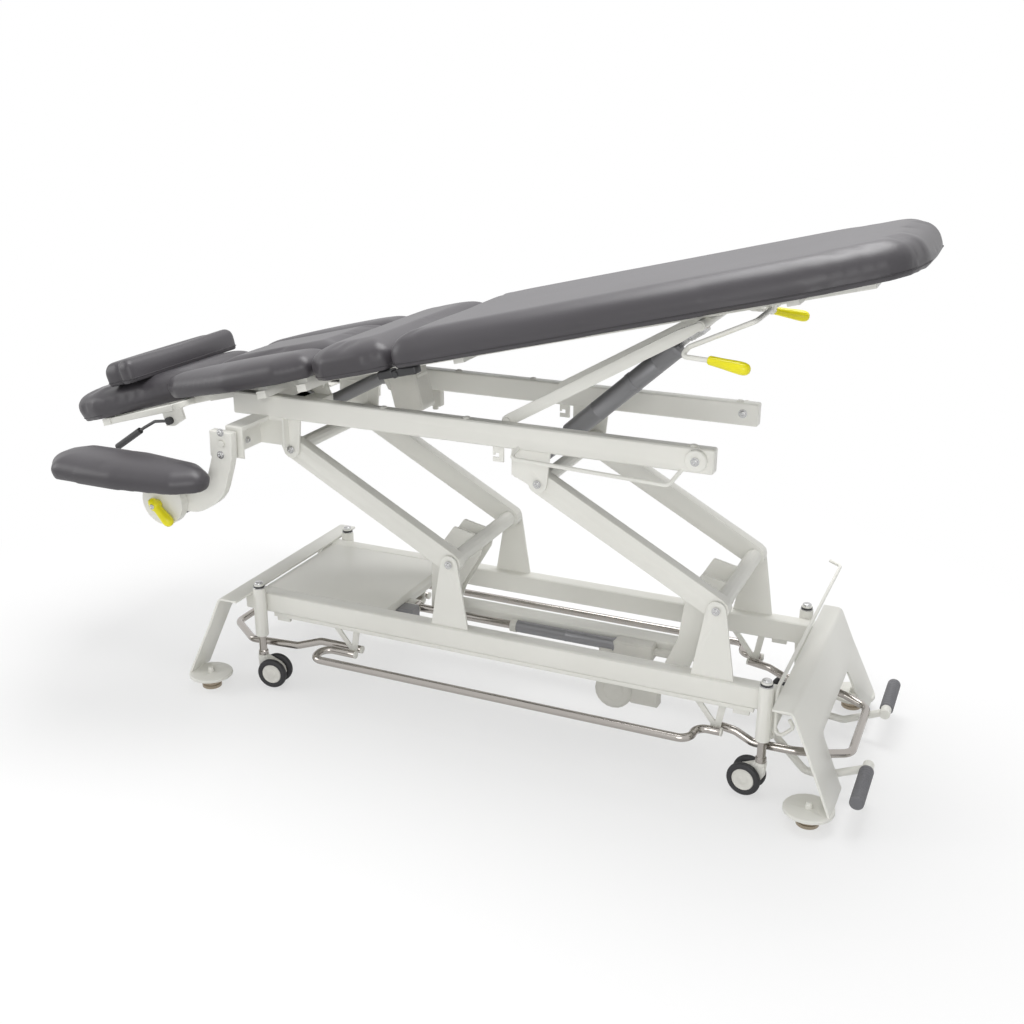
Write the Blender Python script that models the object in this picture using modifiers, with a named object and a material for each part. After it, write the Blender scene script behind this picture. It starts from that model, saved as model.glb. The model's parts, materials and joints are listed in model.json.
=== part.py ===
# Electric massage table with a parallelogram lift, a tilting top, a drop head section and armrests.
# Metres, +Z up. +X is the foot end, -X the head end, -Y the near side. The floor is z = 0.
import math

import bmesh
import bpy
from mathutils import Matrix, Vector

for old in list(bpy.data.objects):
    bpy.data.objects.remove(old)

MODEL = bpy.data.collections.new("massage_table")
HELPERS = bpy.data.collections.new("cutters")
for folder in (MODEL, HELPERS):
    bpy.context.scene.collection.children.link(folder)

# Clearances
TOUCH = 0.0003            # gap between two pieces that rest on each other
RUN = 0.0005              # gap all round between a pin and its hole
SLIDE = 0.0012            # gap beside a sliding bar

# Base
RAIL_END = 0.700          # half length of a base rail
RAIL_OUT = 0.2014         # outer face of a base rail
RAIL_WIDE = 0.0387
RAIL_LOW = 0.2003
RAIL_TALL = 0.0519
RAIL_IN = RAIL_OUT - RAIL_WIDE
RAIL_TOP = RAIL_LOW + RAIL_TALL
EDGE = 0.003              # rounded edge of a square tube

# End legs, folded from sheet
SHEET = 0.0055
LEG_HALF = 0.290          # half width of the folded sheet
HEAD_FLANGE = 0.664       # where the top flange starts, from the middle
FOOT_FLANGE = 0.674
FOLD_X = 0.716            # where the sheet folds down
LEG_FOOT_X = 0.8135       # where the slope ends
LEG_FOOT_Z = 0.0362
FOLD_R = 0.012
HEAD_ARCH = (0.215, 0.214)    # half width and top of the opening at the head end
FOOT_ARCH = (0.162, 0.156)
PAD_X = 0.766             # levelling feet
PAD_Y = 0.281
PAD_R = 0.055
FOOT_R = 0.025
FOOT_TALL = 0.030
SCREW_R = 0.006

# Casters
POST_X = 0.645
POST_Y = 0.2165
SLEEVE_R = 0.0165
SLEEVE_LOW = 0.140
SLEEVE_TOP = 0.270
CAP_R = 0.0125
CAP_TALL = 0.011
STEM_R = 0.010
STEM_TOP = 0.262
STEM_LOW = 0.0865
WHEEL_R = 0.0385
WHEEL_LIFT = 0.004        # the casters hang this far off the floor while the feet carry
WHEEL_WIDE = 0.016
WHEEL_GAP = 0.020         # space between the twin wheels
AXLE_R = 0.005
TRAIL = 0.030
CASTER_TURN = {("head", -1): 8.0, ("foot", -1): 172.0, ("head", 1): -20.0, ("foot", 1): 200.0}

# Lift linkage
PIVOT_Z = 0.4113
HEAD_PIVOT_X = -0.1216
FOOT_PIVOT_X = 0.5193
ARM_DX = -0.4186          # from a lower pivot to its upper pivot
ARM_DZ = 0.2300
ARM_IN = 0.155
ARM_OUT = 0.185
ARM_DEEP = 0.052
TUBE_R = 0.019            # torsion tubes
PIN_R = 0.008
TOWER_IN = 0.187
TOWER_T = 0.006
TOWER_ROUND = 0.022
TOWER_WIDE = 0.097
LEVER_DX = -0.100         # from a lower pivot to its lever pin
LEVER_DZ = -0.1988
LEVER_T = 0.006
LINK_NEAR = -0.022        # side faces of the connecting bar
LINK_FAR = 0.025
LINK_TALL = 0.039
LEVER_PIN_R = 0.006
ACT_Y = -0.045            # lift actuator
ACT_ROD_R = 0.010
ACT_TUBE_R = 0.0145
ACT_BASE_X = -0.285

# Upper frame
UP_HEAD = -0.6856
UP_FOOT = 0.4991
UP_OUT = 0.2125
UP_WIDE = 0.0301
UP_LOW = 0.7211
UP_TALL = 0.0539
UP_IN = UP_OUT - UP_WIDE
UP_TOP = UP_LOW + UP_TALL

# Tilting top
TILT = math.radians(14.0)
TOP_X = -0.206            # the joint of the leg and pelvis pads, at the pads' underside
TOP_Z = 0.890
HINGE_X = -0.500          # tilt hinge
HINGE_Z = 0.790
FRAME_LOW = -0.0200       # top frame, below the pads' underside
FRAME_TOP = -0.0006
FRAME_IN = 0.120
FRAME_OUT = 0.145
PAD_THICK = 0.070
WING_RISE = 0.010         # the wings' underside clears the upper rails

# Lifting fork and its gas spring
FORK_X = 0.020
FORK_Z = 0.773
FORK_LONG = 0.490
FORK_IN = 0.160
FORK_OUT = 0.176
FORK_DEEP = 0.026
ROLL_R = 0.011
# the fork leans until its cross tube lies just under the top frame
FORK_DROP = (TOP_Z - FORK_Z) * math.cos(TILT) + (FORK_X - TOP_X) * math.sin(TILT)
FORK_ANGLE = TILT + math.asin((FORK_DROP + FRAME_LOW - ROLL_R - RUN) / FORK_LONG)
SPRING_X = 0.050
SPRING_Z = 0.660
SPRING_R = 0.0235
SPRING_ROD_R = 0.008
SPRING_EYE = 0.028        # from the fork's cross tube back to the spring's clevis
SPRING_NECK = 0.066       # the spring's thin foot passes the lift's torsion tube
SPRING_STROKE = 0.0560    # the rod goes this far in when the top lies level
YOKE_BACK = 0.034         # from the clevis pin back to the end of its yoke

# Tilt actuator
MOTOR_X = -0.600
MOTOR_Z = 0.683
MOTOR_END_X = -0.276
MOTOR_END_Z = 0.8538
MOTOR_TUBE_R = 0.016
MOTOR_ROD_R = 0.009

# Head section
HEAD_HINGE_U = -0.614
HEAD_HINGE_W = (FRAME_LOW + FRAME_TOP) / 2
HEAD_DROP = math.radians(2.0)
HEAD_PIN_R = 0.005
HEAD_BAR_OUT = FRAME_IN - 0.0012    # the head section's bars run just inside the top frame's
HEAD_BAR_IN = HEAD_BAR_OUT - 0.020

# Armrests
ARMREST_PIVOT = (-0.620, 0.690)
ARMREST_IN = 0.334
ARMREST_THICK = 0.022
ARMREST_OUT = ARMREST_IN + ARMREST_THICK
CLAMP_X = -0.787
CLAMP_Z = 0.532
CLAMP_R = 0.0575
ARMREST_RAISE = {"near": 0.0, "far": math.radians(20.0)}

# Foot control bar and caster pedals
BAR_R = 0.0095
BAR_Z = 0.128
LUG_HEAD_X = -0.395
LUG_FOOT_X = 0.536
LUG_IN = 0.1805
LUG_OUT = 0.1855
PEDAL_X = 0.650
PEDAL_Z = 0.130
PEDAL_Y = 0.136
PEDAL_SHAFT_R = 0.008


def finish(name, colour, roughness, metallic=0.0):
    """A plain material: colour, roughness and metallic value."""
    made = bpy.data.materials.new(name)
    made.use_nodes = True
    shader = made.node_tree.nodes["Principled BSDF"]
    shader.inputs["Base Color"].default_value = (*colour, 1.0)
    shader.inputs["Roughness"].default_value = roughness
    shader.inputs["Metallic"].default_value = metallic
    return made


PAINT = finish("powder_coat", (0.70, 0.69, 0.64), 0.38)
STEEL = finish("polished_steel", (0.55, 0.54, 0.52), 0.18, 1.0)
NICKEL = finish("nickel", (0.55, 0.50, 0.43), 0.3, 1.0)
TYRE = finish("tyre_and_hub", (0.06, 0.06, 0.065), 0.6)
GREY = finish("grey_housing", (0.28, 0.28, 0.29), 0.45)
CREAM = finish("motor_housing", (0.62, 0.61, 0.57), 0.45)
BLACK = finish("black_plastic", (0.03, 0.03, 0.035), 0.5)
YELLOW = finish("yellow_grip", (0.80, 0.74, 0.03), 0.4)
LEATHER = finish("leatherette", (0.13, 0.125, 0.135), 0.5)


def add(name, mesh, folder=HELPERS):
    """A mesh as an object; helper shapes stay hidden until they become a sub-part."""
    made = bpy.data.objects.new(name, mesh)
    folder.objects.link(made)
    if folder is HELPERS:
        made.hide_render = True
        made.display_type = "WIRE"
    return made


def bake(thing):
    """Turn an object's modifiers into its mesh."""
    bpy.context.view_layer.update()
    seen = thing.evaluated_get(bpy.context.evaluated_depsgraph_get())
    mesh = bpy.data.meshes.new_from_object(seen)
    thing.modifiers.clear()
    thing.data = mesh
    return thing


def combine(main, others, how="UNION"):
    """Join or cut a shape with other shapes, which are used up."""
    for other in others:
        step = main.modifiers.new("step", "BOOLEAN")
        step.operation = how
        step.solver = "EXACT"
        step.object = other
        bake(main)
        bpy.data.objects.remove(other)
        form = bmesh.new()
        form.from_mesh(main.data)
        bmesh.ops.remove_doubles(form, verts=form.verts, dist=0.00008)
        bmesh.ops.dissolve_degenerate(form, dist=0.00002, edges=form.edges)
        form.to_mesh(main.data)
        form.free()
    return main


def block(low, high, edge=0.0):
    """A box between two corners, with rounded edges."""
    form = bmesh.new()
    bmesh.ops.create_cube(form, size=1.0)
    size = [h - l for l, h in zip(low, high)]
    middle = [(h + l) / 2 for l, h in zip(low, high)]
    bmesh.ops.scale(form, vec=size, verts=form.verts)
    bmesh.ops.translate(form, vec=middle, verts=form.verts)
    if edge:
        bmesh.ops.bevel(form, geom=form.edges[:], offset=edge, segments=1, profile=0.5, affect="EDGES")
    mesh = bpy.data.meshes.new("block")
    form.to_mesh(mesh)
    form.free()
    return add("block", mesh)


def rod(start, end, radius, sides=12, tip=None):
    """A round bar between two points; tip gives the end radius of a cone."""
    start, end = Vector(start), Vector(end)
    along = end - start
    form = bmesh.new()
    bmesh.ops.create_cone(form, cap_ends=True, segments=sides, radius1=radius,
                          radius2=radius if tip is None else tip, depth=along.length)
    turn = along.to_track_quat("Z", "Y").to_matrix().to_4x4()
    bmesh.ops.transform(form, matrix=Matrix.Translation((start + end) / 2) @ turn, verts=form.verts)
    mesh = bpy.data.meshes.new("rod")
    form.to_mesh(mesh)
    form.free()
    return add("rod", mesh)


def cross_rod(x, z, y0, y1, radius, sides=12):
    """A round bar along Y."""
    return rod((x, y0, z), (x, y1, z), radius, sides)


def fillet(points, radii, steps=2, closed=False):
    """Round the corners of a line of points, each by its own radius."""
    points = [Vector(p) for p in points]
    if not isinstance(radii, (list, tuple)):
        radii = [radii] * len(points)
    line = []
    for i, corner in enumerate(points):
        if not closed and i in (0, len(points) - 1) or radii[i] <= 0:
            line.append(corner)
            continue
        back = points[i - 1] - corner
        ahead = points[(i + 1) % len(points)] - corner
        half = back.angle(ahead) / 2
        reach = radii[i] / math.tan(half)
        centre = corner + (back.normalized() + ahead.normalized()).normalized() * radii[i] / math.sin(half)
        first = corner + back.normalized() * reach - centre
        last = corner + ahead.normalized() * reach - centre
        sweep = first.angle(last)
        for k in range(steps + 1):
            a = sweep * k / steps
            line.append(centre + (first * math.sin(sweep - a) + last * math.sin(a)) / math.sin(sweep))
    return line


def arc(centre, radius, start, end, steps):
    """Points along an arc, angles in degrees."""
    out = []
    for k in range(steps + 1):
        a = math.radians(start + (end - start) * k / steps)
        out.append((centre[0] + radius * math.cos(a), centre[1] + radius * math.sin(a)))
    return out


def plate(outlines, plane, low, high, edge=0.0):
    """A flat plate: closed outlines in a plane (holes after the first), between two depths."""
    curve = bpy.data.curves.new("outline", "CURVE")
    curve.dimensions = "2D"
    curve.fill_mode = "BOTH"
    curve.extrude = (high - low) / 2
    for outline in outlines:
        line = curve.splines.new("POLY")
        line.points.add(len(outline) - 1)
        for point, place in zip(line.points, outline):
            point.co = (place[0], place[1], 0.0, 1.0)
        line.use_cyclic_u = True
    shape = bpy.data.objects.new("outline", curve)
    HELPERS.objects.link(shape)
    bpy.context.view_layer.update()
    mesh = bpy.data.meshes.new_from_object(shape.evaluated_get(bpy.context.evaluated_depsgraph_get()))
    bpy.data.objects.remove(shape)
    form = bmesh.new()
    form.from_mesh(mesh)
    bmesh.ops.remove_doubles(form, verts=form.verts, dist=0.00001)
    middle = (low + high) / 2
    if plane == "xz":
        turn = Matrix(((1, 0, 0, 0), (0, 0, -1, middle), (0, 1, 0, 0), (0, 0, 0, 1)))
    elif plane == "yz":
        turn = Matrix(((0, 0, 1, middle), (1, 0, 0, 0), (0, 1, 0, 0), (0, 0, 0, 1)))
    else:
        turn = Matrix.Translation((0, 0, middle))
    bmesh.ops.transform(form, matrix=turn, verts=form.verts)
    bmesh.ops.recalc_face_normals(form, faces=form.faces)
    if edge:
        rims = [e for e in form.edges if e.calc_face_angle(0) > math.radians(60)
                and len({round(v.co.y if plane == "xz" else v.co.x if plane == "yz" else v.co.z, 5)
                         for v in e.verts}) == 1]
        bmesh.ops.bevel(form, geom=rims, offset=edge, segments=1, profile=0.5, affect="EDGES")
    form.to_mesh(mesh)
    form.free()
    return add("plate", mesh)


def circle(centre, radius, sides=10):
    return arc(centre, radius, 0, 360 - 360 / sides, sides - 1)


def tube(points, radius, bend=0.03, steps=2, sides=2):
    """A bent tube along a route, with round bends."""
    curve = bpy.data.curves.new("tube", "CURVE")
    curve.dimensions = "3D"
    curve.bevel_depth = radius
    curve.bevel_resolution = sides
    curve.use_fill_caps = True
    route = fillet(points, bend, steps)
    line = curve.splines.new("POLY")
    line.points.add(len(route) - 1)
    for point, place in zip(line.points, route):
        point.co = (*place, 1.0)
    shape = bpy.data.objects.new("tube", curve)
    HELPERS.objects.link(shape)
    bpy.context.view_layer.update()
    mesh = bpy.data.meshes.new_from_object(shape.evaluated_get(bpy.context.evaluated_depsgraph_get()))
    bpy.data.objects.remove(shape)
    form = bmesh.new()
    form.from_mesh(mesh)
    bmesh.ops.remove_doubles(form, verts=form.verts, dist=0.00001)
    bmesh.ops.recalc_face_normals(form, faces=form.faces)
    form.to_mesh(mesh)
    form.free()
    return add("tube", mesh)


def turned(profile, place, direction=(0, 0, 1), steps=12):
    """A turned shape: (radius, height) points from the top of its axis down its outer side."""
    form = bmesh.new()
    corners = [form.verts.new((r, 0.0, h)) for r, h in profile]
    for first, second in zip(corners, corners[1:]):
        form.edges.new((first, second))
    mesh = bpy.data.meshes.new("turned")
    form.to_mesh(mesh)
    form.free()
    made = add("turned", mesh)
    spin = made.modifiers.new("spin", "SCREW")
    spin.axis = "Z"
    spin.steps = steps
    spin.render_steps = steps
    spin.use_merge_vertices = True
    spin.merge_threshold = 0.00005
    bake(made)
    turn = Vector(direction).to_track_quat("Z", "Y").to_matrix().to_4x4()
    made.data.transform(Matrix.Translation(place) @ turn)
    form = bmesh.new()
    form.from_mesh(made.data)
    bmesh.ops.recalc_face_normals(form, faces=form.faces)
    form.to_mesh(made.data)
    form.free()
    return made


def move(shape, matrix):
    shape.data.transform(matrix)
    return shape


def mirror_y(shape):
    """The same shape on the far side."""
    form = bmesh.new()
    form.from_mesh(shape.data)
    bmesh.ops.scale(form, vec=(1, -1, 1), verts=form.verts)
    bmesh.ops.reverse_faces(form, faces=form.faces)
    form.to_mesh(shape.data)
    form.free()
    return shape


PIVOTS = {}
PLACES = {}


def pivot(name, place, parent=None):
    """An empty on a joint's axis, which carries the moving pieces."""
    made = bpy.data.objects.new(name, None)
    MODEL.objects.link(made)
    if parent:
        made.parent = PIVOTS[parent]
        made.location = Vector(place) - PLACES[parent]
    else:
        made.location = place
    PLACES[name] = Vector(place)
    made.empty_display_size = 0.03
    PIVOTS[name] = made
    return made


def node(name, shape, material, on=None, smooth=35):
    """Keep a shape as a named sub-part, carried by its joint's empty."""
    form = bmesh.new()
    form.from_mesh(shape.data)
    bmesh.ops.dissolve_limit(form, angle_limit=0.003, verts=form.verts, edges=form.edges)
    bmesh.ops.triangulate(form, faces=form.faces)
    form.to_mesh(shape.data)
    form.free()
    HELPERS.objects.unlink(shape)
    MODEL.objects.link(shape)
    shape.name = name
    shape.data.name = name
    shape.hide_render = False
    shape.display_type = "TEXTURED"
    shape.data.materials.clear()
    shape.data.materials.append(material)
    shape.data.shade_smooth()
    shape.data.set_sharp_from_angle(angle=math.radians(smooth))
    if on:
        shape.data.transform(Matrix.Translation(-PLACES[on]))
        shape.parent = PIVOTS[on]
    return shape


# The top frame's own axes: u along the slope to the foot end, v across, w up out of the pads
TOP = Matrix.Translation((TOP_X, 0, TOP_Z)) @ Matrix.Rotation(-TILT, 4, "Y")


def on_top(u, v, w):
    return TOP @ Vector((u, v, w))


def to_top(x, z):
    """A world point as (u, w) on the tilted top."""
    local = TOP.inverted() @ Vector((x, 0, z))
    return local.x, local.z


HEAD_HINGE = on_top(HEAD_HINGE_U, 0, HEAD_HINGE_W)
HEAD = (Matrix.Translation(HEAD_HINGE) @ Matrix.Rotation(-HEAD_DROP, 4, "Y")
        @ Matrix.Translation(-HEAD_HINGE) @ TOP)
SIDES = {"near": -1, "far": 1}
ENDS = {"head": -1, "foot": 1}
UP_PIVOT_Z = PIVOT_Z + ARM_DZ
HEAD_UP_X = HEAD_PIVOT_X + ARM_DX
FOOT_UP_X = FOOT_PIVOT_X + ARM_DX
LEVER_PIN_Z = PIVOT_Z + LEVER_DZ
HEAD_PIN_X = HEAD_PIVOT_X + LEVER_DX
FOOT_PIN_X = FOOT_PIVOT_X + LEVER_DX
SPRING_TOP = Vector((FORK_X + FORK_LONG * math.cos(FORK_ANGLE), 0,
                     FORK_Z + FORK_LONG * math.sin(FORK_ANGLE)))


def side(low, high, sign):
    """The two Y values of a piece on one side, lower first."""
    return (low, high) if sign > 0 else (-high, -low)


def base_side(sign):
    """A base rail with its towers, caster sleeves, bar lugs and pedal bearing, welded together."""
    y0, y1 = side(RAIL_IN, RAIL_OUT, sign)
    rail = block((-RAIL_END, y0, RAIL_LOW), (RAIL_END, y1, RAIL_TOP), EDGE)
    pieces = []
    for end in ENDS.values():
        profile = [(0.0, SLEEVE_TOP + CAP_TALL), (CAP_R, SLEEVE_TOP + CAP_TALL),
                   (CAP_R, SLEEVE_TOP), (SLEEVE_R, SLEEVE_TOP),
                   (SLEEVE_R, SLEEVE_LOW), (STEM_R + RUN, SLEEVE_LOW),
                   (STEM_R + RUN, STEM_TOP + SLIDE), (0.0, STEM_TOP + SLIDE)]
        pieces.append(turned(profile, (end * POST_X, sign * POST_Y, 0), steps=12))
    for pivot_x in (HEAD_PIVOT_X, FOOT_PIVOT_X):
        pieces.append(tower(pivot_x, sign))
    for lug_x, lean in ((LUG_HEAD_X, -1), (LUG_FOOT_X, -1)):
        pieces.append(bar_lug(lug_x, sign))
    bearing_y = side(RAIL_IN + 0.0013, RAIL_IN + 0.0073, sign)
    outline = fillet([(PEDAL_X - 0.018, RAIL_LOW + 0.004), (PEDAL_X - 0.0125, PEDAL_Z - 0.0125),
                      (PEDAL_X + 0.0125, PEDAL_Z - 0.0125), (PEDAL_X + 0.018, RAIL_LOW + 0.004)],
                     [0, 0.0115, 0.0115, 0], 4, closed=True)
    pieces.append(plate([outline, circle((PEDAL_X, PEDAL_Z), PEDAL_SHAFT_R + RUN)], "xz", *bearing_y))
    return combine(rail, pieces)


def tower(pivot_x, sign):
    """A tapered plate that carries an arm's lower pivot, standing on the rail."""
    half = TOWER_WIDE / 2
    low = RAIL_TOP - 0.004
    y0, y1 = side(TOWER_IN, TOWER_IN + TOWER_T, sign)
    tangent = 12
    outline = [(pivot_x - half, low), (pivot_x + half, low)]
    outline += arc((pivot_x, PIVOT_Z), TOWER_ROUND, tangent, 180 - tangent, 6)
    hole = circle((pivot_x, PIVOT_Z), PIN_R + RUN)
    return plate([outline, hole], "xz", y0, y1)


def bar_lug(x, sign):
    """Two flat bars that meet in a V under the rail, where a control bar hangs."""
    y0, y1 = side(LUG_IN, LUG_OUT, sign)
    top = RAIL_LOW + 0.004
    arms = []
    for lean in (-0.062, 0.012):
        arms.append([(x + lean - 0.007, top), (x - 0.0075, BAR_Z - 0.002),
                     (x + 0.0075, BAR_Z - 0.002), (x + lean + 0.009, top)])
    first = plate([arms[0]], "xz", y0, y1)
    second = plate([arms[1]], "xz", y0, y1)
    eye = cross_rod(x, BAR_Z, y0, y1, 0.0095, 12)
    gap = BAR_R + TOUCH
    pin = cross_rod(x, BAR_Z, *side(0.168 + gap, 0.200 - gap, sign), 0.004, 10)
    return combine(first, [second, eye, pin])


def end_leg(end, flange, arch):
    """A folded sheet leg: flat flange on the rails, a slope with an opening, and two round foot pads."""
    sign = ENDS[end]
    mid_z = RAIL_TOP + TOUCH + SHEET / 2
    line = fillet([(sign * flange, mid_z, 0), (sign * FOLD_X, mid_z, 0),
                   (sign * LEG_FOOT_X, LEG_FOOT_Z, 0)], [0, FOLD_R, 0], 3)
    upper, lower = [], []
    for i, point in enumerate(line):
        ahead = line[min(i + 1, len(line) - 1)] - line[max(i - 1, 0)]
        normal = Vector((-ahead.y, ahead.x, 0)).normalized() * SHEET / 2
        upper.append(point + normal)
        lower.append(point - normal)
    outline = [(p.x, p.y) for p in upper + lower[::-1]]
    wide = LEG_HALF + 0.03
    sheet = plate([outline], "xz", -wide, wide)
    half, top = arch
    low = LEG_FOOT_Z - 0.02
    trim = fillet([(-LEG_HALF - 0.018, low, 0), (-half - 0.012, low, 0), (-half, top, 0), (half, top, 0),
                   (half + 0.012, low, 0), (LEG_HALF + 0.018, low, 0), (LEG_HALF, 0.18, 0),
                   (LEG_HALF, mid_z + 0.02, 0), (-LEG_HALF, mid_z + 0.02, 0), (-LEG_HALF, 0.18, 0)],
                  [0, 0, 0.014, 0.014, 0, 0, 0.05, 0, 0, 0.05], 4, closed=True)
    reach = sorted((sign * (flange - 0.02), sign * (LEG_FOOT_X + 0.03)))
    combine(sheet, [plate([[(p.x, p.y) for p in trim]], "yz", *reach)], "INTERSECT")
    for y in (-PAD_Y, PAD_Y):
        dish = [(0.0, LEG_FOOT_Z + 0.004), (PAD_R - 0.002, LEG_FOOT_Z + 0.004),
                (PAD_R, LEG_FOOT_Z + 0.002), (PAD_R, LEG_FOOT_Z - 0.0035), (0.0, LEG_FOOT_Z - 0.0035)]
        combine(sheet, [turned(dish, (sign * PAD_X, y, 0), steps=20)])
        hole = rod((sign * PAD_X, y, 0), (sign * PAD_X, y, 0.08), SCREW_R + RUN, 12)
        combine(sheet, [hole], "DIFFERENCE")
    return sheet


def levelling_foot(x, y):
    """A turned foot on a screw that passes through the leg's round pad."""
    seat = LEG_FOOT_Z - 0.0035 - TOUCH
    profile = [(0.0, 0.054), (SCREW_R, 0.054), (SCREW_R, seat), (0.0195, seat), (0.0195, 0.021),
               (FOOT_R, 0.020), (FOOT_R, 0.0), (0.0, 0.0)]
    return turned(profile, (x, y, 0), steps=12)


def tray():
    """A folded cover plate between the rails at the head end."""
    low, high = -HEAD_FLANGE + 0.004, -0.309
    half = RAIL_IN - TOUCH
    top = RAIL_TOP - TOUCH
    cover = block((low, -half, top - 0.022), (high, half, top))
    inner = block((low + 0.002, -half + 0.002, top - 0.05), (high - 0.002, half - 0.002, top - 0.002))
    return combine(cover, [inner], "DIFFERENCE")


def actuator_beam():
    """A cross tube under the tray with two cheeks for the lift actuator's rod."""
    half = RAIL_IN - TOUCH
    beam = block((-0.350, -half, 0.2065), (-0.320, half, 0.2275))
    cheeks = []
    for offset in (-0.0125, 0.0125):
        y = ACT_Y + offset
        outline = [(-0.335, 0.2085), *arc((ACT_BASE_X, LEVER_PIN_Z), 0.013, -90, 90, 6), (-0.335, 0.2255)]
        cheeks.append(plate([outline], "xz", y - 0.0018, y + 0.0018))
    return combine(beam, cheeks)


def caster_stem(x, y):
    low_cup = STEM_LOW + 0.012
    profile = [(0.0, STEM_TOP), (STEM_R, STEM_TOP), (STEM_R, low_cup), (0.0125, low_cup - 0.002),
               (0.0125, STEM_LOW), (0.0, STEM_LOW)]
    return turned(profile, (x, y, 0), steps=12)


def caster_housing(x, y, turn):
    """The cover between the twin wheels, swivelling under the stem."""
    wheel_z = WHEEL_R + WHEEL_LIFT
    web = WHEEL_GAP / 2 - 0.002
    back = [(TRAIL, wheel_z)]
    outline = arc(back[0], 0.028, -100, 60, 5)
    outline += [(0.012, STEM_LOW - TOUCH - 0.004), (-0.012, STEM_LOW - TOUCH - 0.006),
                (-0.010, 0.052), (0.006, 0.024)]
    shape = plate([outline], "xz", -web, web)
    neck = rod((0, 0, 0.0795), (0, 0, STEM_LOW - TOUCH), 0.0135, 12)
    combine(shape, [neck])
    combine(shape, [cross_rod(TRAIL, wheel_z, -0.02, 0.02, AXLE_R + RUN, 12)], "DIFFERENCE")
    return move(shape, Matrix.Translation((x, y, 0)) @ Matrix.Rotation(turn, 4, "Z"))


def caster_wheels(x, y, turn):
    """Two tyred wheels on one axle."""
    wheel_z = WHEEL_R + WHEEL_LIFT
    g = WHEEL_GAP / 2
    e = g + WHEEL_WIDE
    half = [(0.0, e), (WHEEL_R - 0.004, e), (WHEEL_R, e - 0.005), (WHEEL_R, g), (AXLE_R, g)]
    profile = half + [(r, -h) for r, h in reversed(half)]
    shape = turned(profile, (0, 0, 0), (0, 1, 0), 16)
    place = Matrix.Translation((x, y, 0)) @ Matrix.Rotation(turn, 4, "Z")
    return move(shape, place @ Matrix.Translation((TRAIL, 0, wheel_z)))


def push_rod(sign):
    """A flat bar under the rail that carries the pedals' push to the head end."""
    y0, y1 = side(0.188, 0.1985, sign)
    top = RAIL_LOW - TOUCH
    bar = block((-0.617, y0, top - 0.010), (0.617, y1, top))
    ends = [block((x - 0.018, y0 + 0.0005, top - 0.020), (x + 0.018, y1 - 0.0005, top - 0.001))
            for x in (-0.590, 0.590)]
    return combine(bar, ends)


def pedals():
    """Both caster pedals on one shaft, with their grips and the levers of the push rods."""
    shaft = cross_rod(PEDAL_X, PEDAL_Z, -0.1845, 0.1845, PEDAL_SHAFT_R, 12)
    pieces = []
    for sign in SIDES.values():
        y = sign * PEDAL_Y
        pieces.append(tube([(PEDAL_X, y, PEDAL_Z), (0.664, y, 0.104), (0.728, y, 0.040), (0.768, y, 0.036),
                            (0.862, y, 0.078)], 0.0085, 0.02, 2, 2))
        pieces.append(cross_rod(0.862, 0.078, *side(0.1203, 0.1561, sign), 0.0110, 10))
        grip = [(0.0, 0.071), (0.0145, 0.071), (0.0155, 0.067), (0.0155, -0.072), (0.0, -0.072)]
        pieces.append(turned(grip, (0.862, sign * 0.2205, 0.078), (0, sign, 0), 12))
        outline = fillet([(PEDAL_X - 0.012, PEDAL_Z - 0.010, 0), (PEDAL_X + 0.012, PEDAL_Z - 0.010, 0),
                          (PEDAL_X + 0.007, 0.186, 0), (PEDAL_X - 0.007, 0.186, 0)],
                         [0.008, 0.008, 0.006, 0.006], 3, closed=True)
        pieces.append(plate([[(p.x, p.y) for p in outline]], "xz", *side(0.1755, 0.1815, sign)))
    return combine(shaft, pieces)


def side_bar(sign):
    """The long run of the foot control beside a rail, its ends turned in to the lugs."""
    y, inner = sign * 0.262, sign * 0.200
    route = [(LUG_HEAD_X + 0.014, inner, BAR_Z), (-0.470, inner, BAR_Z), (-0.470, y, BAR_Z),
             (0.494, y, BAR_Z), (0.494, inner, BAR_Z), (LUG_FOOT_X + 0.014, inner, BAR_Z)]
    return tube(route, BAR_R, 0.028, 3, 2)


def end_bar(end):
    """The loop of the foot control that reaches out past the end leg."""
    lug = LUG_HEAD_X if end == "head" else LUG_FOOT_X
    if end == "head":
        half = [(lug + 0.014, 0.168, BAR_Z), (-0.500, 0.168, BAR_Z), (-0.560, 0.186, 0.112),
                (-0.700, 0.184, 0.104), (-0.800, 0.105, 0.100)]
    else:
        half = [(lug - 0.014, 0.168, BAR_Z), (0.575, 0.168, BAR_Z - 0.008), (0.615, 0.170, 0.101),
                (0.715, 0.170, 0.101), (0.815, 0.100, 0.092)]
    route = [(x, -y, z) for x, y, z in half] + [(x, y, z) for x, y, z in reversed(half)]
    return tube(route, BAR_R, 0.026, 2, 2)


def lever(pivot_x, outline, y0, y1):
    """A lever plate that hangs from a torsion tube down to the connecting bar's pin."""
    points = fillet([(pivot_x + a, PIVOT_Z + b, 0) for a, b, _ in outline], [r for _, _, r in outline], 3, True)
    return plate([[(p.x, p.y) for p in points]], "xz", y0, y1)


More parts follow.
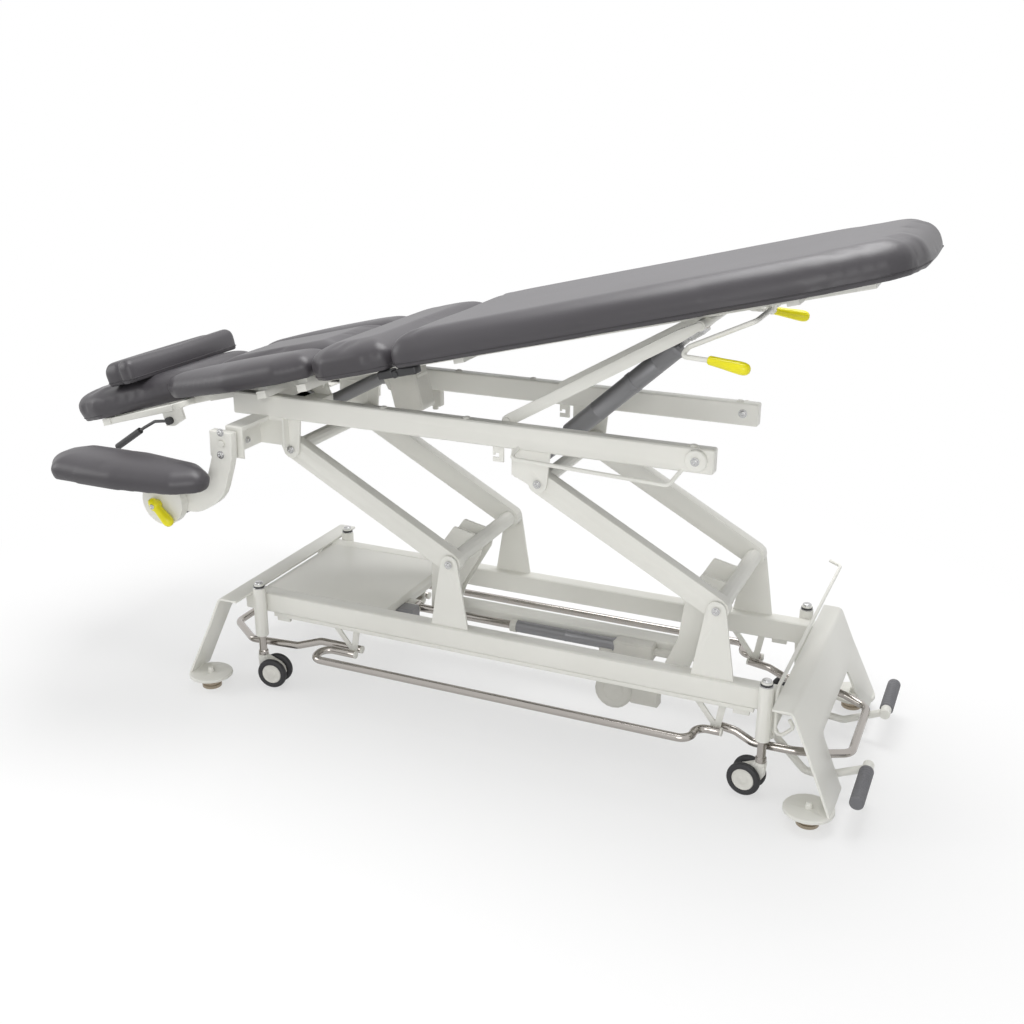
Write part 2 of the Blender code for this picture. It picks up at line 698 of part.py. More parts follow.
def arms(pivot_x, outline_lever, near_y):
    """A pair of lift arms on two torsion tubes, with the lever plates and pivot pins."""
    low = Vector((pivot_x, 0, PIVOT_Z))
    high = Vector((pivot_x + ARM_DX, 0, UP_PIVOT_Z))
    along = (high - low).normalized()
    across = Vector((-along.z, 0, along.x)) * ARM_DEEP / 2
    outline = []
    for centre, start, end in ((high, 0, 180), (low, 180, 360)):
        for a, b in arc((0, 0), ARM_DEEP / 2, start, end, 6):
            point = centre + along * b + across.normalized() * a
            outline.append((point.x, point.z))
    whole = cross_rod(low.x, low.z, -ARM_IN - 0.002, ARM_IN + 0.002, TUBE_R, 12)
    pieces = [cross_rod(high.x, high.z, -ARM_IN - 0.002, ARM_IN + 0.002, TUBE_R - 0.002, 12)]
    for sign in SIDES.values():
        pieces.append(plate([outline], "xz", *side(ARM_IN, ARM_OUT, sign)))
        for point in (low, high):
            pin = side(ARM_OUT - 0.004, TOWER_IN + TOWER_T + 0.002, sign)
            pieces.append(cross_rod(point.x, point.z, *pin, PIN_R, 12))
    y0, y1 = LINK_FAR + 0.0035, LINK_FAR + 0.0035 + LEVER_T
    pieces.append(lever(pivot_x, outline_lever, near_y, near_y + LEVER_T))
    pieces.append(lever(pivot_x, outline_lever, y0, y1))
    pieces.append(cross_rod(pivot_x + LEVER_DX, LEVER_PIN_Z, near_y + 0.001, y1 - 0.001, LEVER_PIN_R, 12))
    return combine(whole, pieces)


HEAD_LEVER = [(-0.066, 0.030, 0.006), (-0.128, -0.060, 0.02), (-0.132, -0.205, 0.012), (-0.112, -0.219, 0.01),
              (-0.084, -0.217, 0.012), (-0.062, -0.150, 0.02), (0.008, -0.030, 0.01), (0.016, 0.012, 0.005)]
FOOT_LEVER = [(-0.066, 0.030, 0.006), (-0.100, -0.030, 0.02), (-0.113, -0.140, 0.02), (-0.146, -0.217, 0.01),
              (-0.086, -0.219, 0.012), (-0.066, -0.160, 0.02), (0.008, -0.030, 0.01), (0.016, 0.012, 0.005)]


def connecting_bar():
    """The bar between the two lever pins, which keeps both arm pairs in step."""
    end = 0.018
    bar = block((HEAD_PIN_X - end, LINK_NEAR, LEVER_PIN_Z - LINK_TALL / 2),
                (FOOT_PIN_X + end, LINK_FAR, LEVER_PIN_Z + LINK_TALL / 2), EDGE)
    holes = [cross_rod(x, LEVER_PIN_Z, -0.05, 0.05, LEVER_PIN_R + RUN, 12) for x in (HEAD_PIN_X, FOOT_PIN_X)]
    return combine(bar, holes, "DIFFERENCE")


def lift_actuator():
    """The lift motor: tube, gear housing, hanging motor and rear eye."""
    z = LEVER_PIN_Z
    body = rod((-0.020, ACT_Y, z), (0.262, ACT_Y, z), ACT_TUBE_R, 20)
    pieces = [rod((-0.024, ACT_Y, z), (-0.008, ACT_Y, z), ACT_TUBE_R + 0.0015, 20),
              block((0.245, ACT_Y - 0.0185, z - 0.021), (0.345, ACT_Y + 0.0185, z + 0.019), 0.005),
              block((0.209, ACT_Y - 0.0155, 0.100), (0.291, ACT_Y + 0.0155, z - 0.008), 0.004),
              cross_rod(0.250, 0.098, ACT_Y - 0.0165, ACT_Y + 0.0165, 0.046, 20),
              block((0.290, ACT_Y - 0.0145, 0.072), (0.362, ACT_Y + 0.0145, 0.124), 0.004),
              rod((0.330, ACT_Y, z), (FOOT_PIN_X, ACT_Y, z), 0.0095, 12),
              cross_rod(FOOT_PIN_X, z, ACT_Y - 0.010, ACT_Y + 0.010, 0.0145, 20)]
    combine(body, pieces)
    bore = rod((-0.04, ACT_Y, z), (0.238, ACT_Y, z), ACT_ROD_R + RUN, 20)
    return combine(body, [bore, cross_rod(FOOT_PIN_X, z, -0.08, -0.01, LEVER_PIN_R + RUN, 12)], "DIFFERENCE")


def lift_rod():
    z = LEVER_PIN_Z
    shape = rod((ACT_BASE_X, ACT_Y, z), (0.160, ACT_Y, z), ACT_ROD_R, 20)
    return combine(shape, [cross_rod(ACT_BASE_X, z, ACT_Y - 0.0095, ACT_Y + 0.0095, 0.0125, 12)])


def upper_frame():
    """The level frame on top of the lift: two rails, cross tubes, pivot lugs and armrest brackets."""
    frame = None
    pieces = []
    for sign in SIDES.values():
        y0, y1 = side(UP_IN, UP_OUT, sign)
        pieces.append(block((UP_HEAD, y0, UP_LOW), (UP_FOOT, y1, UP_TOP), EDGE))
        pieces.append(up_lug(HEAD_UP_X, sign, 0.030, 0.030))
        pieces.append(up_lug(FOOT_UP_X, sign, 0.062, 0.030))
        pieces.append(armrest_bracket(sign))
        pieces.append(hinge_post(sign))
        pieces.append(roller(sign))
        pieces.append(hook(sign))
    frame = pieces.pop(0)
    pieces.append(block((-0.672, -UP_IN - 0.002, 0.7225), (-0.642, UP_IN + 0.002, 0.7485)))
    pieces.append(cross_rod(MOTOR_X, MOTOR_Z, -0.189, 0.189, 0.011, 12))
    pieces.append(cross_rod(SPRING_X, SPRING_Z, -0.190, 0.190, 0.011, 12))
    pieces.append(tube([(0.066, -0.203, 0.730), (0.050, -0.236, 0.708), (0.412, -0.236, 0.695),
                        (0.436, -0.203, 0.730)], 0.005, 0.012, 2, 2))
    return combine(frame, pieces)


def up_lug(x, sign, before, after):
    """A plate under an upper rail that holds an arm's upper pivot."""
    y0, y1 = side(TOWER_IN, TOWER_IN + TOWER_T, sign)
    top = UP_LOW + 0.004
    outline = [(x + after, top), (x - before, top), (x - before, SPRING_Z - 0.004)]
    outline += arc((x, UP_PIVOT_Z), TOWER_ROUND, 190, 350, 6)
    hole = circle((x, UP_PIVOT_Z), PIN_R + RUN)
    return plate([outline, hole], "xz", y0, y1)


def hinge_post(sign):
    """A short beam from the rail inwards with the lug and pin of the tilt hinge."""
    y0, y1 = side(0.098, UP_IN + 0.002, sign)
    beam = block((HINGE_X - 0.025, y0, 0.735), (HINGE_X + 0.025, y1, 0.763))
    l0, l1 = side(0.098, 0.106, sign)
    outline = [(HINGE_X - 0.024, 0.745), (HINGE_X + 0.024, 0.745)] + arc((HINGE_X, HINGE_Z), 0.013, 20, 160, 6)
    lug = plate([outline], "xz", l0, l1)
    pin = cross_rod(HINGE_X, HINGE_Z, *side(0.102, 0.119, sign), 0.006, 12)
    return combine(beam, [lug, pin])


def roller(sign):
    """A round bumper on the outer face of the rail's foot end."""
    y = sign * (UP_OUT - 0.001)
    profile = [(0.0, 0.014), (0.009, 0.014), (0.010, 0.012), (0.022, 0.012), (0.0245, 0.010),
               (0.0245, 0.0), (0.0, 0.0)]
    return turned(profile, (0.463, y, UP_LOW + 0.0285), (0, sign, 0), 12)


def hook(sign):
    """A small open hook under the rail for the hand control."""
    y0, y1 = side(0.200, 0.204, sign)
    x, z = 0.012, UP_LOW
    outline = [(x - 0.014, z + 0.004), (x + 0.012, z + 0.004), (x + 0.012, z - 0.036), (x - 0.014, z - 0.036),
               (x - 0.014, z - 0.026), (x + 0.001, z - 0.026), (x + 0.001, z - 0.016), (x - 0.009, z - 0.016),
               (x - 0.009, z - 0.021), (x - 0.014, z - 0.021)]
    return plate([outline], "xz", y0, y1)


def armrest_bracket(sign):
    """A channel under the rail that reaches out to the armrest's arm."""
    px, pz = ARMREST_PIVOT
    inner = block((px - 0.012, *[side(0.186, 0.324, sign)[0]], 0.648),
                  (px + 0.076, *[side(0.186, 0.324, sign)[1]], UP_LOW + 0.004), 0.003)
    pocket_y = side(0.190, 0.319, sign)
    pocket = block((px - 0.007, pocket_y[0], 0.62), (px + 0.071, pocket_y[1], UP_LOW - 0.006))
    combine(inner, [pocket], "DIFFERENCE")
    pin = cross_rod(px, pz, *side(0.316, ARMREST_OUT + 0.003, sign), 0.008, 12)
    return combine(inner, [pin])


def spring_tube_end():
    """How far the thick tube reaches, so that the yoke stays clear when the rod is in."""
    reach = (SPRING_TOP - Vector((SPRING_X, 0, SPRING_Z))).length
    return reach - SPRING_EYE - YOKE_BACK - SPRING_STROKE - 0.003


def gas_spring():
    """The thick tube of the gas spring, with its foot eye round the frame's cross tube."""
    start = Vector((SPRING_X, 0, SPRING_Z))
    along = (SPRING_TOP - start).normalized()
    end = spring_tube_end()
    body = rod(start + along * SPRING_NECK, start + along * (end - 0.002), SPRING_R, 12)
    pieces = [rod(start + along * (end - 0.145), start + along * (end - 0.133), SPRING_R + 0.0015, 12),
              rod(start + along * (end - 0.014), start + along * end, SPRING_R + 0.001, 12),
              rod(start + along * 0.012, start + along * (SPRING_NECK + 0.004), 0.0105, 12),
              cross_rod(SPRING_X, SPRING_Z, -0.020, 0.020, 0.019, 20)]
    combine(body, pieces)
    cuts = [cross_rod(SPRING_X, SPRING_Z, -0.03, 0.03, 0.011 + RUN, 12),
            rod(start + along * (end - 0.085 - SPRING_STROKE), start + along * (end + 0.01),
                SPRING_ROD_R + RUN, 12)]
    return combine(body, cuts, "DIFFERENCE")


def spring_rod():
    start = Vector((SPRING_X, 0, SPRING_Z))
    along = (SPRING_TOP - start).normalized()
    eye = SPRING_TOP - along * SPRING_EYE
    shape = rod(start + along * (spring_tube_end() - 0.080), eye - along * 0.014, SPRING_ROD_R, 12)
    yoke = rod(eye - along * YOKE_BACK, eye - along * 0.016, 0.015, 12)
    cheeks = []
    for y0, y1 in ((0.0075, 0.0125), (-0.0125, -0.0075)):
        turn = Matrix.Rotation(-math.atan2(along.z, along.x), 4, "Y")
        cheek = plate([[(-0.020, -0.009), *arc((0, 0), 0.009, -90, 90, 6), (-0.020, 0.009)]], "xz", y0, y1)
        cheeks.append(move(cheek, Matrix.Translation(eye) @ turn))
    return combine(shape, [yoke] + cheeks)


def lifting_fork():
    """Two arms and a cross tube that roll under the top frame and raise the foot end."""
    low = Vector((FORK_X, 0, FORK_Z))
    turn = Matrix.Translation(low) @ Matrix.Rotation(-FORK_ANGLE, 4, "Y")
    half = FORK_DEEP / 2
    tip = ROLL_R - 0.003
    outline = arc((0, 0), half, 90, 270, 6) + [(FORK_LONG - 0.05, -half)]
    outline += arc((FORK_LONG, 0), tip, -90, 90, 6) + [(FORK_LONG - 0.05, half)]
    whole = cross_rod(SPRING_TOP.x, SPRING_TOP.z, -FORK_OUT + 0.002, FORK_OUT - 0.002, ROLL_R, 20)
    pieces = []
    for sign in SIDES.values():
        arm = plate([outline], "xz", *side(FORK_IN, FORK_OUT, sign))
        pieces.append(move(arm, turn))
        pieces.append(cross_rod(FORK_X, FORK_Z, *side(FORK_OUT - 0.004, UP_IN - TOUCH, sign), 0.0085, 12))
    along = (SPRING_TOP - Vector((SPRING_X, 0, SPRING_Z))).normalized()
    eye = SPRING_TOP - along * SPRING_EYE
    lug = plate([[(0.0, -0.008), (0.0, 0.008), *arc((-SPRING_EYE, 0), 0.008, 90, 270, 6)]], "xz", -0.006, 0.006)
    lug_turn = Matrix.Translation(SPRING_TOP) @ Matrix.Rotation(-math.atan2(along.z, along.x), 4, "Y")
    pieces.append(move(lug, lug_turn))
    return combine(whole, pieces)


def motor_line():
    start = Vector((MOTOR_X, 0, MOTOR_Z))
    end = Vector((MOTOR_END_X, 0, MOTOR_END_Z))
    return start, end, (end - start).normalized()


def tilt_rod():
    start, end, along = motor_line()
    shape = rod(start + along * 0.016, start + along * 0.215, MOTOR_ROD_R, 12)
    combine(shape, [cross_rod(start.x, start.z, -0.016, 0.016, 0.0185, 20)])
    return combine(shape, [cross_rod(start.x, start.z, -0.03, 0.03, 0.011 + RUN, 12)], "DIFFERENCE")


def tilt_motor():
    """The tilt actuator: tube, gear housing, motor box below it and top eye."""
    start, end, along = motor_line()
    turn = Matrix.Translation(end) @ Matrix.Rotation(-math.atan2(along.z, along.x), 4, "Y")
    body = rod(start + along * 0.075, start + along * 0.27, MOTOR_TUBE_R, 20)
    gear = move(block((-0.118, -0.028, -0.040), (-0.022, 0.028, 0.004), 0.006), turn)
    box = plate([[(p.x, p.y) for p in fillet(
        [(-0.365, 0.816, 0), (-0.290, 0.836, 0), (-0.262, 0.730, 0), (-0.300, 0.712, 0), (-0.342, 0.724, 0)],
        [0.008, 0.008, 0.014, 0.01, 0.014], 3, True)]], "xz", -0.034, 0.034, 0.004)
    eye = cross_rod(end.x, end.z, -0.009, 0.009, 0.011, 12)
    neck = rod(end - along * 0.03, end, 0.008, 12)
    combine(body, [gear, box, neck, eye])
    bore = rod(start + along * 0.05, start + along * 0.245, MOTOR_ROD_R + RUN, 12)
    return combine(body, [bore], "DIFFERENCE")


def bar_across(u, reach, wide=0.025):
    """A cross bar, a little shallower than the long bars that it is welded between."""
    return block((u - wide / 2, -reach, FRAME_LOW + 0.001), (u + wide / 2, reach, FRAME_TOP - 0.0008))


def top_frame():
    """The welded frame under the pads, built level and then tilted with them."""
    u0, u1 = HEAD_HINGE_U - 0.008, 1.010
    frame = block((u0, FRAME_IN, FRAME_LOW), (u1, FRAME_OUT, FRAME_TOP), 0.0015)
    pieces = [block((u0, -FRAME_OUT, FRAME_LOW), (u1, -FRAME_IN, FRAME_TOP), 0.0015)]
    for u, reach in ((HEAD_HINGE_U + 0.030, 0.13), (-0.375, 0.262), (-0.26, 0.262), (-0.035, 0.13),
                     (0.13, 0.22), (0.86, 0.20), (u1 - 0.014, 0.13)):
        pieces.append(bar_across(u, reach))
    hinge_u, hinge_w = to_top(HINGE_X, HINGE_Z)
    for sign in SIDES.values():
        outline = [(hinge_u + 0.020, FRAME_TOP - 0.002), (hinge_u - 0.020, FRAME_TOP - 0.002)]
        outline += arc((hinge_u, hinge_w), 0.013, 200, 340, 6)
        ear = plate([outline], "xz", *side(0.1125, 0.1215, sign))
        pieces.append(combine(ear, [cross_rod(hinge_u, hinge_w, -0.2, 0.2, 0.006 + RUN, 12)], "DIFFERENCE"))
        pieces.append(release_ear(RELEASE_U, sign))
        pin = side(HEAD_BAR_IN + 0.004, FRAME_IN + 0.002, sign)
        pieces.append(cross_rod(HEAD_HINGE_U, HEAD_HINGE_W, *pin, HEAD_PIN_R, 12))
        for u in (-0.375, -0.26):
            y0, y1 = side(0.170, 0.250, sign)
            pieces.append(block((u - 0.012, y0, FRAME_TOP - 0.003), (u + 0.012, y1, WING_RISE - TOUCH)))
    eye_u, eye_w = to_top(MOTOR_END_X, MOTOR_END_Z)
    for y0, y1 in ((0.0125, 0.0165), (-0.0165, -0.0125)):
        outline = [(eye_u + 0.040, FRAME_TOP - 0.004), (eye_u - 0.004, FRAME_TOP - 0.004),
                   *arc((eye_u, eye_w), 0.010, 180, 300, 4)]
        pieces.append(plate([outline], "xz", y0, y1))
    combine(frame, pieces)
    return move(frame, TOP)


RELEASE_U = 0.800
RELEASE_W = -0.0275


def release_ear(u, sign):
    """An ear under the frame that holds the release bar's shaft."""
    outline = [(u + 0.012, FRAME_LOW + 0.004), (u - 0.012, FRAME_LOW + 0.004)]
    outline += arc((u, RELEASE_W - 0.001), 0.0095, 200, 340, 5)
    ear = plate([outline], "xz", *side(0.126, 0.131, sign))
    return combine(ear, [cross_rod(u, RELEASE_W, -0.2, 0.2, 0.005 + RUN, 12)], "DIFFERENCE")


def release_bar():
    """A bent bar under the leg section with a grip at each end."""
    half = [(0.770, 0.290, -0.1115), (0.712, 0.284, -0.0880), (0.645, 0.276, -0.0700),
            (0.660, 0.262, -0.0560), (RELEASE_U, 0.262, RELEASE_W)]
    route = [(x, -y, z) for x, y, z in half] + [(x, y, z) for x, y, z in reversed(half)]
    bar = tube(route, 0.005, 0.008, 2, 2)
    grips = []
    for sign in SIDES.values():
        first, last = Vector((0.704, sign * 0.2835, -0.0855)), Vector((0.775, sign * 0.2905, -0.1135))
        grips.append(rod(first, last, 0.0095, 16, 0.0125))
    combine(bar, grips)
    return move(bar, TOP)


def pad(outline, radii, thick, edge, place, low=0.0):
    """A plain cushion: its outline with rounded corners, its upper edge well rounded."""
    points = fillet([(u, v, 0) for u, v in outline], radii, 3, closed=True)
    shape = plate([[(p.x, p.y) for p in points]], "xy", low, low + thick)
    form = bmesh.new()
    form.from_mesh(shape.data)
    rims = [e for e in form.edges if all(v.co.z > low + thick - 0.0001 for v in e.verts) and len(e.link_faces) == 2
            and e.calc_face_angle(0) > 1.0]
    bmesh.ops.bevel(form, geom=rims, offset=edge, segments=2, profile=0.5, affect="EDGES")
    rims = [e for e in form.edges if all(v.co.z < low + 0.0001 for v in e.verts) and len(e.link_faces) == 2
            and e.calc_face_angle(0) > 1.0]
    bmesh.ops.bevel(form, geom=rims, offset=edge * 0.5, segments=1, profile=0.5, affect="EDGES")
    form.to_mesh(shape.data)
    form.free()
    return move(shape, place)


def mirrored(half):
    """A closed outline from its far half, given from one end to the other."""
    return [(u, v) for u, v in half] + [(u, -v) for u, v in reversed(half)]


def head_frame():
    """The flat bars under the head pad with the locking lever's bracket."""
    tip = HEAD_HINGE_U + 0.010
    frame = block((-0.930, HEAD_BAR_IN, FRAME_LOW), (tip, HEAD_BAR_OUT, FRAME_TOP))
    pieces = [block((-0.930, -HEAD_BAR_OUT, FRAME_LOW), (tip, -HEAD_BAR_IN, FRAME_TOP)),
              bar_across(-0.915, 0.205), bar_across(-0.640, 0.130),
              block((-0.922, -0.203, FRAME_LOW + 0.0015), (-0.696, -0.187, FRAME_TOP - 0.0014), 0.0015),
              block((-0.712, -0.200, FRAME_LOW + 0.0022), (-0.688, -0.110, FRAME_TOP - 0.002), 0.0015)]
    bracket = [(-0.735, FRAME_LOW + 0.004), (-0.735, -0.052), (-0.710, -0.056), (-0.672, -0.044),
               (-0.672, FRAME_LOW + 0.004)]
    pieces.append(plate([bracket], "xz", -0.199, -0.191, 0.001))
    combine(frame, pieces)
    hole = cross_rod(HEAD_HINGE_U, HEAD_HINGE_W, -0.2, 0.2, HEAD_PIN_R + RUN, 12)
    return move(combine(frame, [hole], "DIFFERENCE"), HEAD)


def head_lever():
    """A thin lever with a grip that unlocks the head section."""
    pin_u, pin_w = -0.715, -0.040
    y = -0.2055
    bar = tube([(pin_u, y, pin_w), (-0.760, y, -0.034), (-0.800, y, -0.044), (-0.905, y, -0.078)],
               0.004, 0.02, 3, 2)
    grip = rod((-0.815, y, -0.0488), (-0.905, y, -0.078), 0.0085, 12)
    hub = cross_rod(pin_u, pin_w, y - 0.005, y + 0.0062, 0.010, 12)
    combine(bar, [grip, hub])
    return move(bar, HEAD)


def armrest_arm(sign):
    """An S-shaped flat arm from the bracket down to the clamp."""
    px, pz = ARMREST_PIVOT
    middle = fillet([(px - 0.002, pz + 0.028, 0), (px - 0.004, pz - 0.040, 0), (px - 0.030, 0.572, 0),
                     (px - 0.085, 0.536, 0), (CLAMP_X, CLAMP_Z, 0)], [0, 0.05, 0.06, 0.06, 0], 3)
    wide = [0.030] * 2 + [0.027] * (len(middle) - 2)
    left, right = [], []
    for i, point in enumerate(middle):
        ahead = middle[min(i + 1, len(middle) - 1)] - middle[max(i - 1, 0)]
        normal = Vector((-ahead.y, ahead.x, 0)).normalized() * wide[i]
        left.append(point + normal)
        right.append(point - normal)
    outline = [(p.x, p.y) for p in left + right[::-1]]
    y = side(ARMREST_IN, ARMREST_OUT, sign)
    shape = plate([outline], "xz", *y)
    combine(shape, [cross_rod(CLAMP_X, CLAMP_Z, *y, 0.030, 20)])
    return combine(shape, [cross_rod(px, pz, -0.4, 0.4, 0.008 + RUN, 12),
                           cross_rod(CLAMP_X, CLAMP_Z, -0.6, 0.6, 0.009 + RUN, 12)], "DIFFERENCE")


def armrest_clamp(sign):
    """The round clamp plates either side of the arm and the carrier of the pad."""
    out = side(ARMREST_OUT + 0.001, ARMREST_OUT + 0.025, sign)
    inner = side(ARMREST_IN - 0.019, ARMREST_IN - 0.001, sign)
    disc = cross_rod(CLAMP_X, CLAMP_Z, *out, CLAMP_R, 24)
    pieces = [cross_rod(CLAMP_X, CLAMP_Z, *inner, 0.040, 12),
              cross_rod(CLAMP_X, CLAMP_Z, *side(ARMREST_IN - 0.01, ARMREST_OUT + 0.01, sign), 0.009, 12)]
    carrier = block((-0.900, side(ARMREST_IN - 0.012, ARMREST_OUT + 0.062, sign)[0], 0.5885),
                    (-0.700, side(ARMREST_IN - 0.012, ARMREST_OUT + 0.062, sign)[1], 0.5945), 0.001)
    pieces.append(carrier)
    web = [(CLAMP_X - 0.050, 0.550), (CLAMP_X + 0.050, 0.550), (CLAMP_X + 0.050, 0.591), (CLAMP_X - 0.050, 0.591)]
    pieces.append(plate([web], "xz", *side(ARMREST_OUT + 0.003, ARMREST_OUT + 0.012, sign)))
    return combine(disc, pieces)


def armrest_lever(sign):
    """The clamp lever on the face of the round plate."""
    face = ARMREST_OUT + 0.025 + TOUCH
    y = sign * (face + 0.014)
    grip = rod((CLAMP_X - 0.012, y, CLAMP_Z - 0.006), (CLAMP_X + 0.030, y, CLAMP_Z - 0.044), 0.009, 16, 0.013)
    hub = cross_rod(CLAMP_X - 0.010, CLAMP_Z - 0.006, *side(face, face + 0.023, sign), 0.010, 12)
    return combine(grip, [hub])


def armrest_pad(sign):
    """A long oval pad on the carrier, a little higher at its head end."""
    outline = mirrored([(-1.044, 0.030), (-1.000, 0.082), (-0.820, 0.086), (-0.670, 0.060), (-0.618, 0.018)])
    shape = pad(outline, 0.03, 0.056, 0.022, Matrix.Identity(4))
    return move(shape, Matrix.Translation((0, sign * 0.425, 0.5945 + TOUCH)))


def build():
    for name, sign in SIDES.items():
        node(f"base_side_{name}", base_side(sign), PAINT)
    node("head_leg", end_leg("head", HEAD_FLANGE, HEAD_ARCH), PAINT)
    node("foot_leg", end_leg("foot", FOOT_FLANGE, FOOT_ARCH), PAINT)
    node("base_tray", tray(), PAINT)
    node("actuator_beam", actuator_beam(), PAINT)
    node("control_box", block((-0.320 + TOUCH, -0.102, 0.192), (-0.270, -0.062, 0.2285), 0.003), GREY)
    for end, end_sign in ENDS.items():
        for name, sign in SIDES.items():
            place = f"{end}_{name}"
            x, y = end_sign * POST_X, sign * POST_Y
            turn = math.radians(CASTER_TURN[end, sign])
            pivot(f"foot_turn_{place}", (end_sign * PAD_X, sign * PAD_Y, 0))
            node(f"levelling_foot_{place}", levelling_foot(end_sign * PAD_X, sign * PAD_Y), NICKEL,
                 f"foot_turn_{place}")
            pivot(f"caster_drop_{place}", (x, y, 0.2))
            node(f"caster_stem_{place}", caster_stem(x, y), STEEL, f"caster_drop_{place}")
            pivot(f"caster_swivel_{place}", (x, y, 0.08), f"caster_drop_{place}")
            node(f"caster_housing_{place}", caster_housing(x, y, turn), PAINT, f"caster_swivel_{place}")
            axle = (x + TRAIL * math.cos(turn), y + TRAIL * math.sin(turn), WHEEL_R + WHEEL_LIFT)
            pivot(f"caster_axle_{place}", axle, f"caster_swivel_{place}")
            node(f"caster_wheels_{place}", caster_wheels(x, y, turn), TYRE, f"caster_axle_{place}")
    pivot("pedal_shaft", (PEDAL_X, 0, PEDAL_Z))
    node("caster_pedals", pedals(), PAINT, "pedal_shaft")
    for name, sign in SIDES.items():
        pivot(f"push_{name}", (0, sign * 0.193, RAIL_LOW - 0.01))
        node(f"push_rod_{name}", push_rod(sign), PAINT, f"push_{name}")
        pivot(f"bar_hinge_{name}", (0, sign * 0.200, BAR_Z))
        node(f"foot_bar_{name}", side_bar(sign), STEEL, f"bar_hinge_{name}")
    for end, lug in (("head", LUG_HEAD_X), ("foot", LUG_FOOT_X)):
        pivot(f"bar_hinge_{end}", (lug, 0, BAR_Z))
        node(f"foot_bar_{end}", end_bar(end), STEEL, f"bar_hinge_{end}")

    pivot("head_arms_pivot", (HEAD_PIVOT_X, 0, PIVOT_Z))
    node("head_arms", arms(HEAD_PIVOT_X, HEAD_LEVER, LINK_NEAR - 0.002 - LEVER_T), PAINT, "head_arms_pivot")
    pivot("foot_arms_pivot", (FOOT_PIVOT_X, 0, PIVOT_Z))
    node("foot_arms", arms(FOOT_PIVOT_X, FOOT_LEVER, -0.0735), PAINT, "foot_arms_pivot")
    pivot("connecting_pin", (HEAD_PIN_X, 0, LEVER_PIN_Z), "head_arms_pivot")
    node("connecting_bar", connecting_bar(), PAINT, "connecting_pin")
    pivot("lift_actuator_pin", (FOOT_PIN_X, ACT_Y, LEVER_PIN_Z), "foot_arms_pivot")
    node("lift_actuator", lift_actuator(), CREAM, "lift_actuator_pin")
    pivot("lift_rod_slide", (ACT_BASE_X, ACT_Y, LEVER_PIN_Z), "lift_actuator_pin")
    node("lift_rod", lift_rod(), GREY, "lift_rod_slide")

    pivot("frame_pivot", (HEAD_UP_X, 0, UP_PIVOT_Z), "head_arms_pivot")
    node("upper_frame", upper_frame(), PAINT, "frame_pivot")
    pivot("fork_pivot", (FORK_X, 0, FORK_Z), "frame_pivot")
    node("lifting_fork", lifting_fork(), PAINT, "fork_pivot")
    pivot("spring_pivot", (SPRING_X, 0, SPRING_Z), "frame_pivot")
    node("gas_spring", gas_spring(), GREY, "spring_pivot")
    pivot("spring_slide", tuple(SPRING_TOP), "spring_pivot")
    node("spring_rod", spring_rod(), NICKEL, "spring_slide")
    pivot("tilt_rod_pivot", (MOTOR_X, 0, MOTOR_Z), "frame_pivot")
    node("tilt_rod", tilt_rod(), STEEL, "tilt_rod_pivot")
    pivot("tilt_motor_slide", (MOTOR_END_X, 0, MOTOR_END_Z), "tilt_rod_pivot")
    node("tilt_motor", tilt_motor(), CREAM, "tilt_motor_slide")

    pivot("tilt_hinge", (HINGE_X, 0, HINGE_Z), "frame_pivot")
    node("top_frame", top_frame(), PAINT, "tilt_hinge")
    pivot("release_shaft", tuple(on_top(RELEASE_U, 0, RELEASE_W)), "tilt_hinge")
    node("release_bar", release_bar(), PAINT, "release_shaft")
    leg = mirrored([(1.112, 0.12), (1.060, 0.235), (0.900, 0.268), (0.300, 0.300), (0.060, 0.292), (0.003, 0.18)])
    node("leg_pad", pad(leg, [0.10, 0.10, 0.3, 0.3, 0.06, 0.08, 0.08, 0.06, 0.3, 0.3, 0.10, 0.10], PAD_THICK,
                        0.024, TOP), LEATHER, "tilt_hinge")
    pelvis = mirrored([(-0.003, 0.215), (-0.060, 0.292), (-0.190, 0.292), (-0.218, 0.240)])
    node("pelvis_pad", pad(pelvis, [0.04, 0.05, 0.04, 0.03, 0.03, 0.04, 0.05, 0.04], PAD_THICK,
                           0.022, TOP), LEATHER, "tilt_hinge")
    chest = mirrored([(-0.222, 0.150), (-0.420, 0.138), (-0.604, 0.150)])
    node("chest_pad", pad(chest, [0.02, 0.4, 0.02, 0.02, 0.4, 0.02], PAD_THICK, 0.018, TOP), LEATHER, "tilt_hinge")
    for name, sign in SIDES.items():
        wing = [(-0.222, 0.156), (-0.222, 0.262), (-0.300, 0.304), (-0.450, 0.300), (-0.614, 0.235),
                (-0.630, 0.190), (-0.592, 0.157), (-0.420, 0.144)]
        shape = pad(wing, [0.02, 0.03, 0.12, 0.2, 0.03, 0.02, 0.02, 0.4], PAD_THICK - WING_RISE, 0.02,
                    Matrix.Identity(4), WING_RISE)
        if sign < 0:
            mirror_y(shape)
        node(f"wing_pad_{name}", move(shape, TOP), LEATHER, "tilt_hinge")

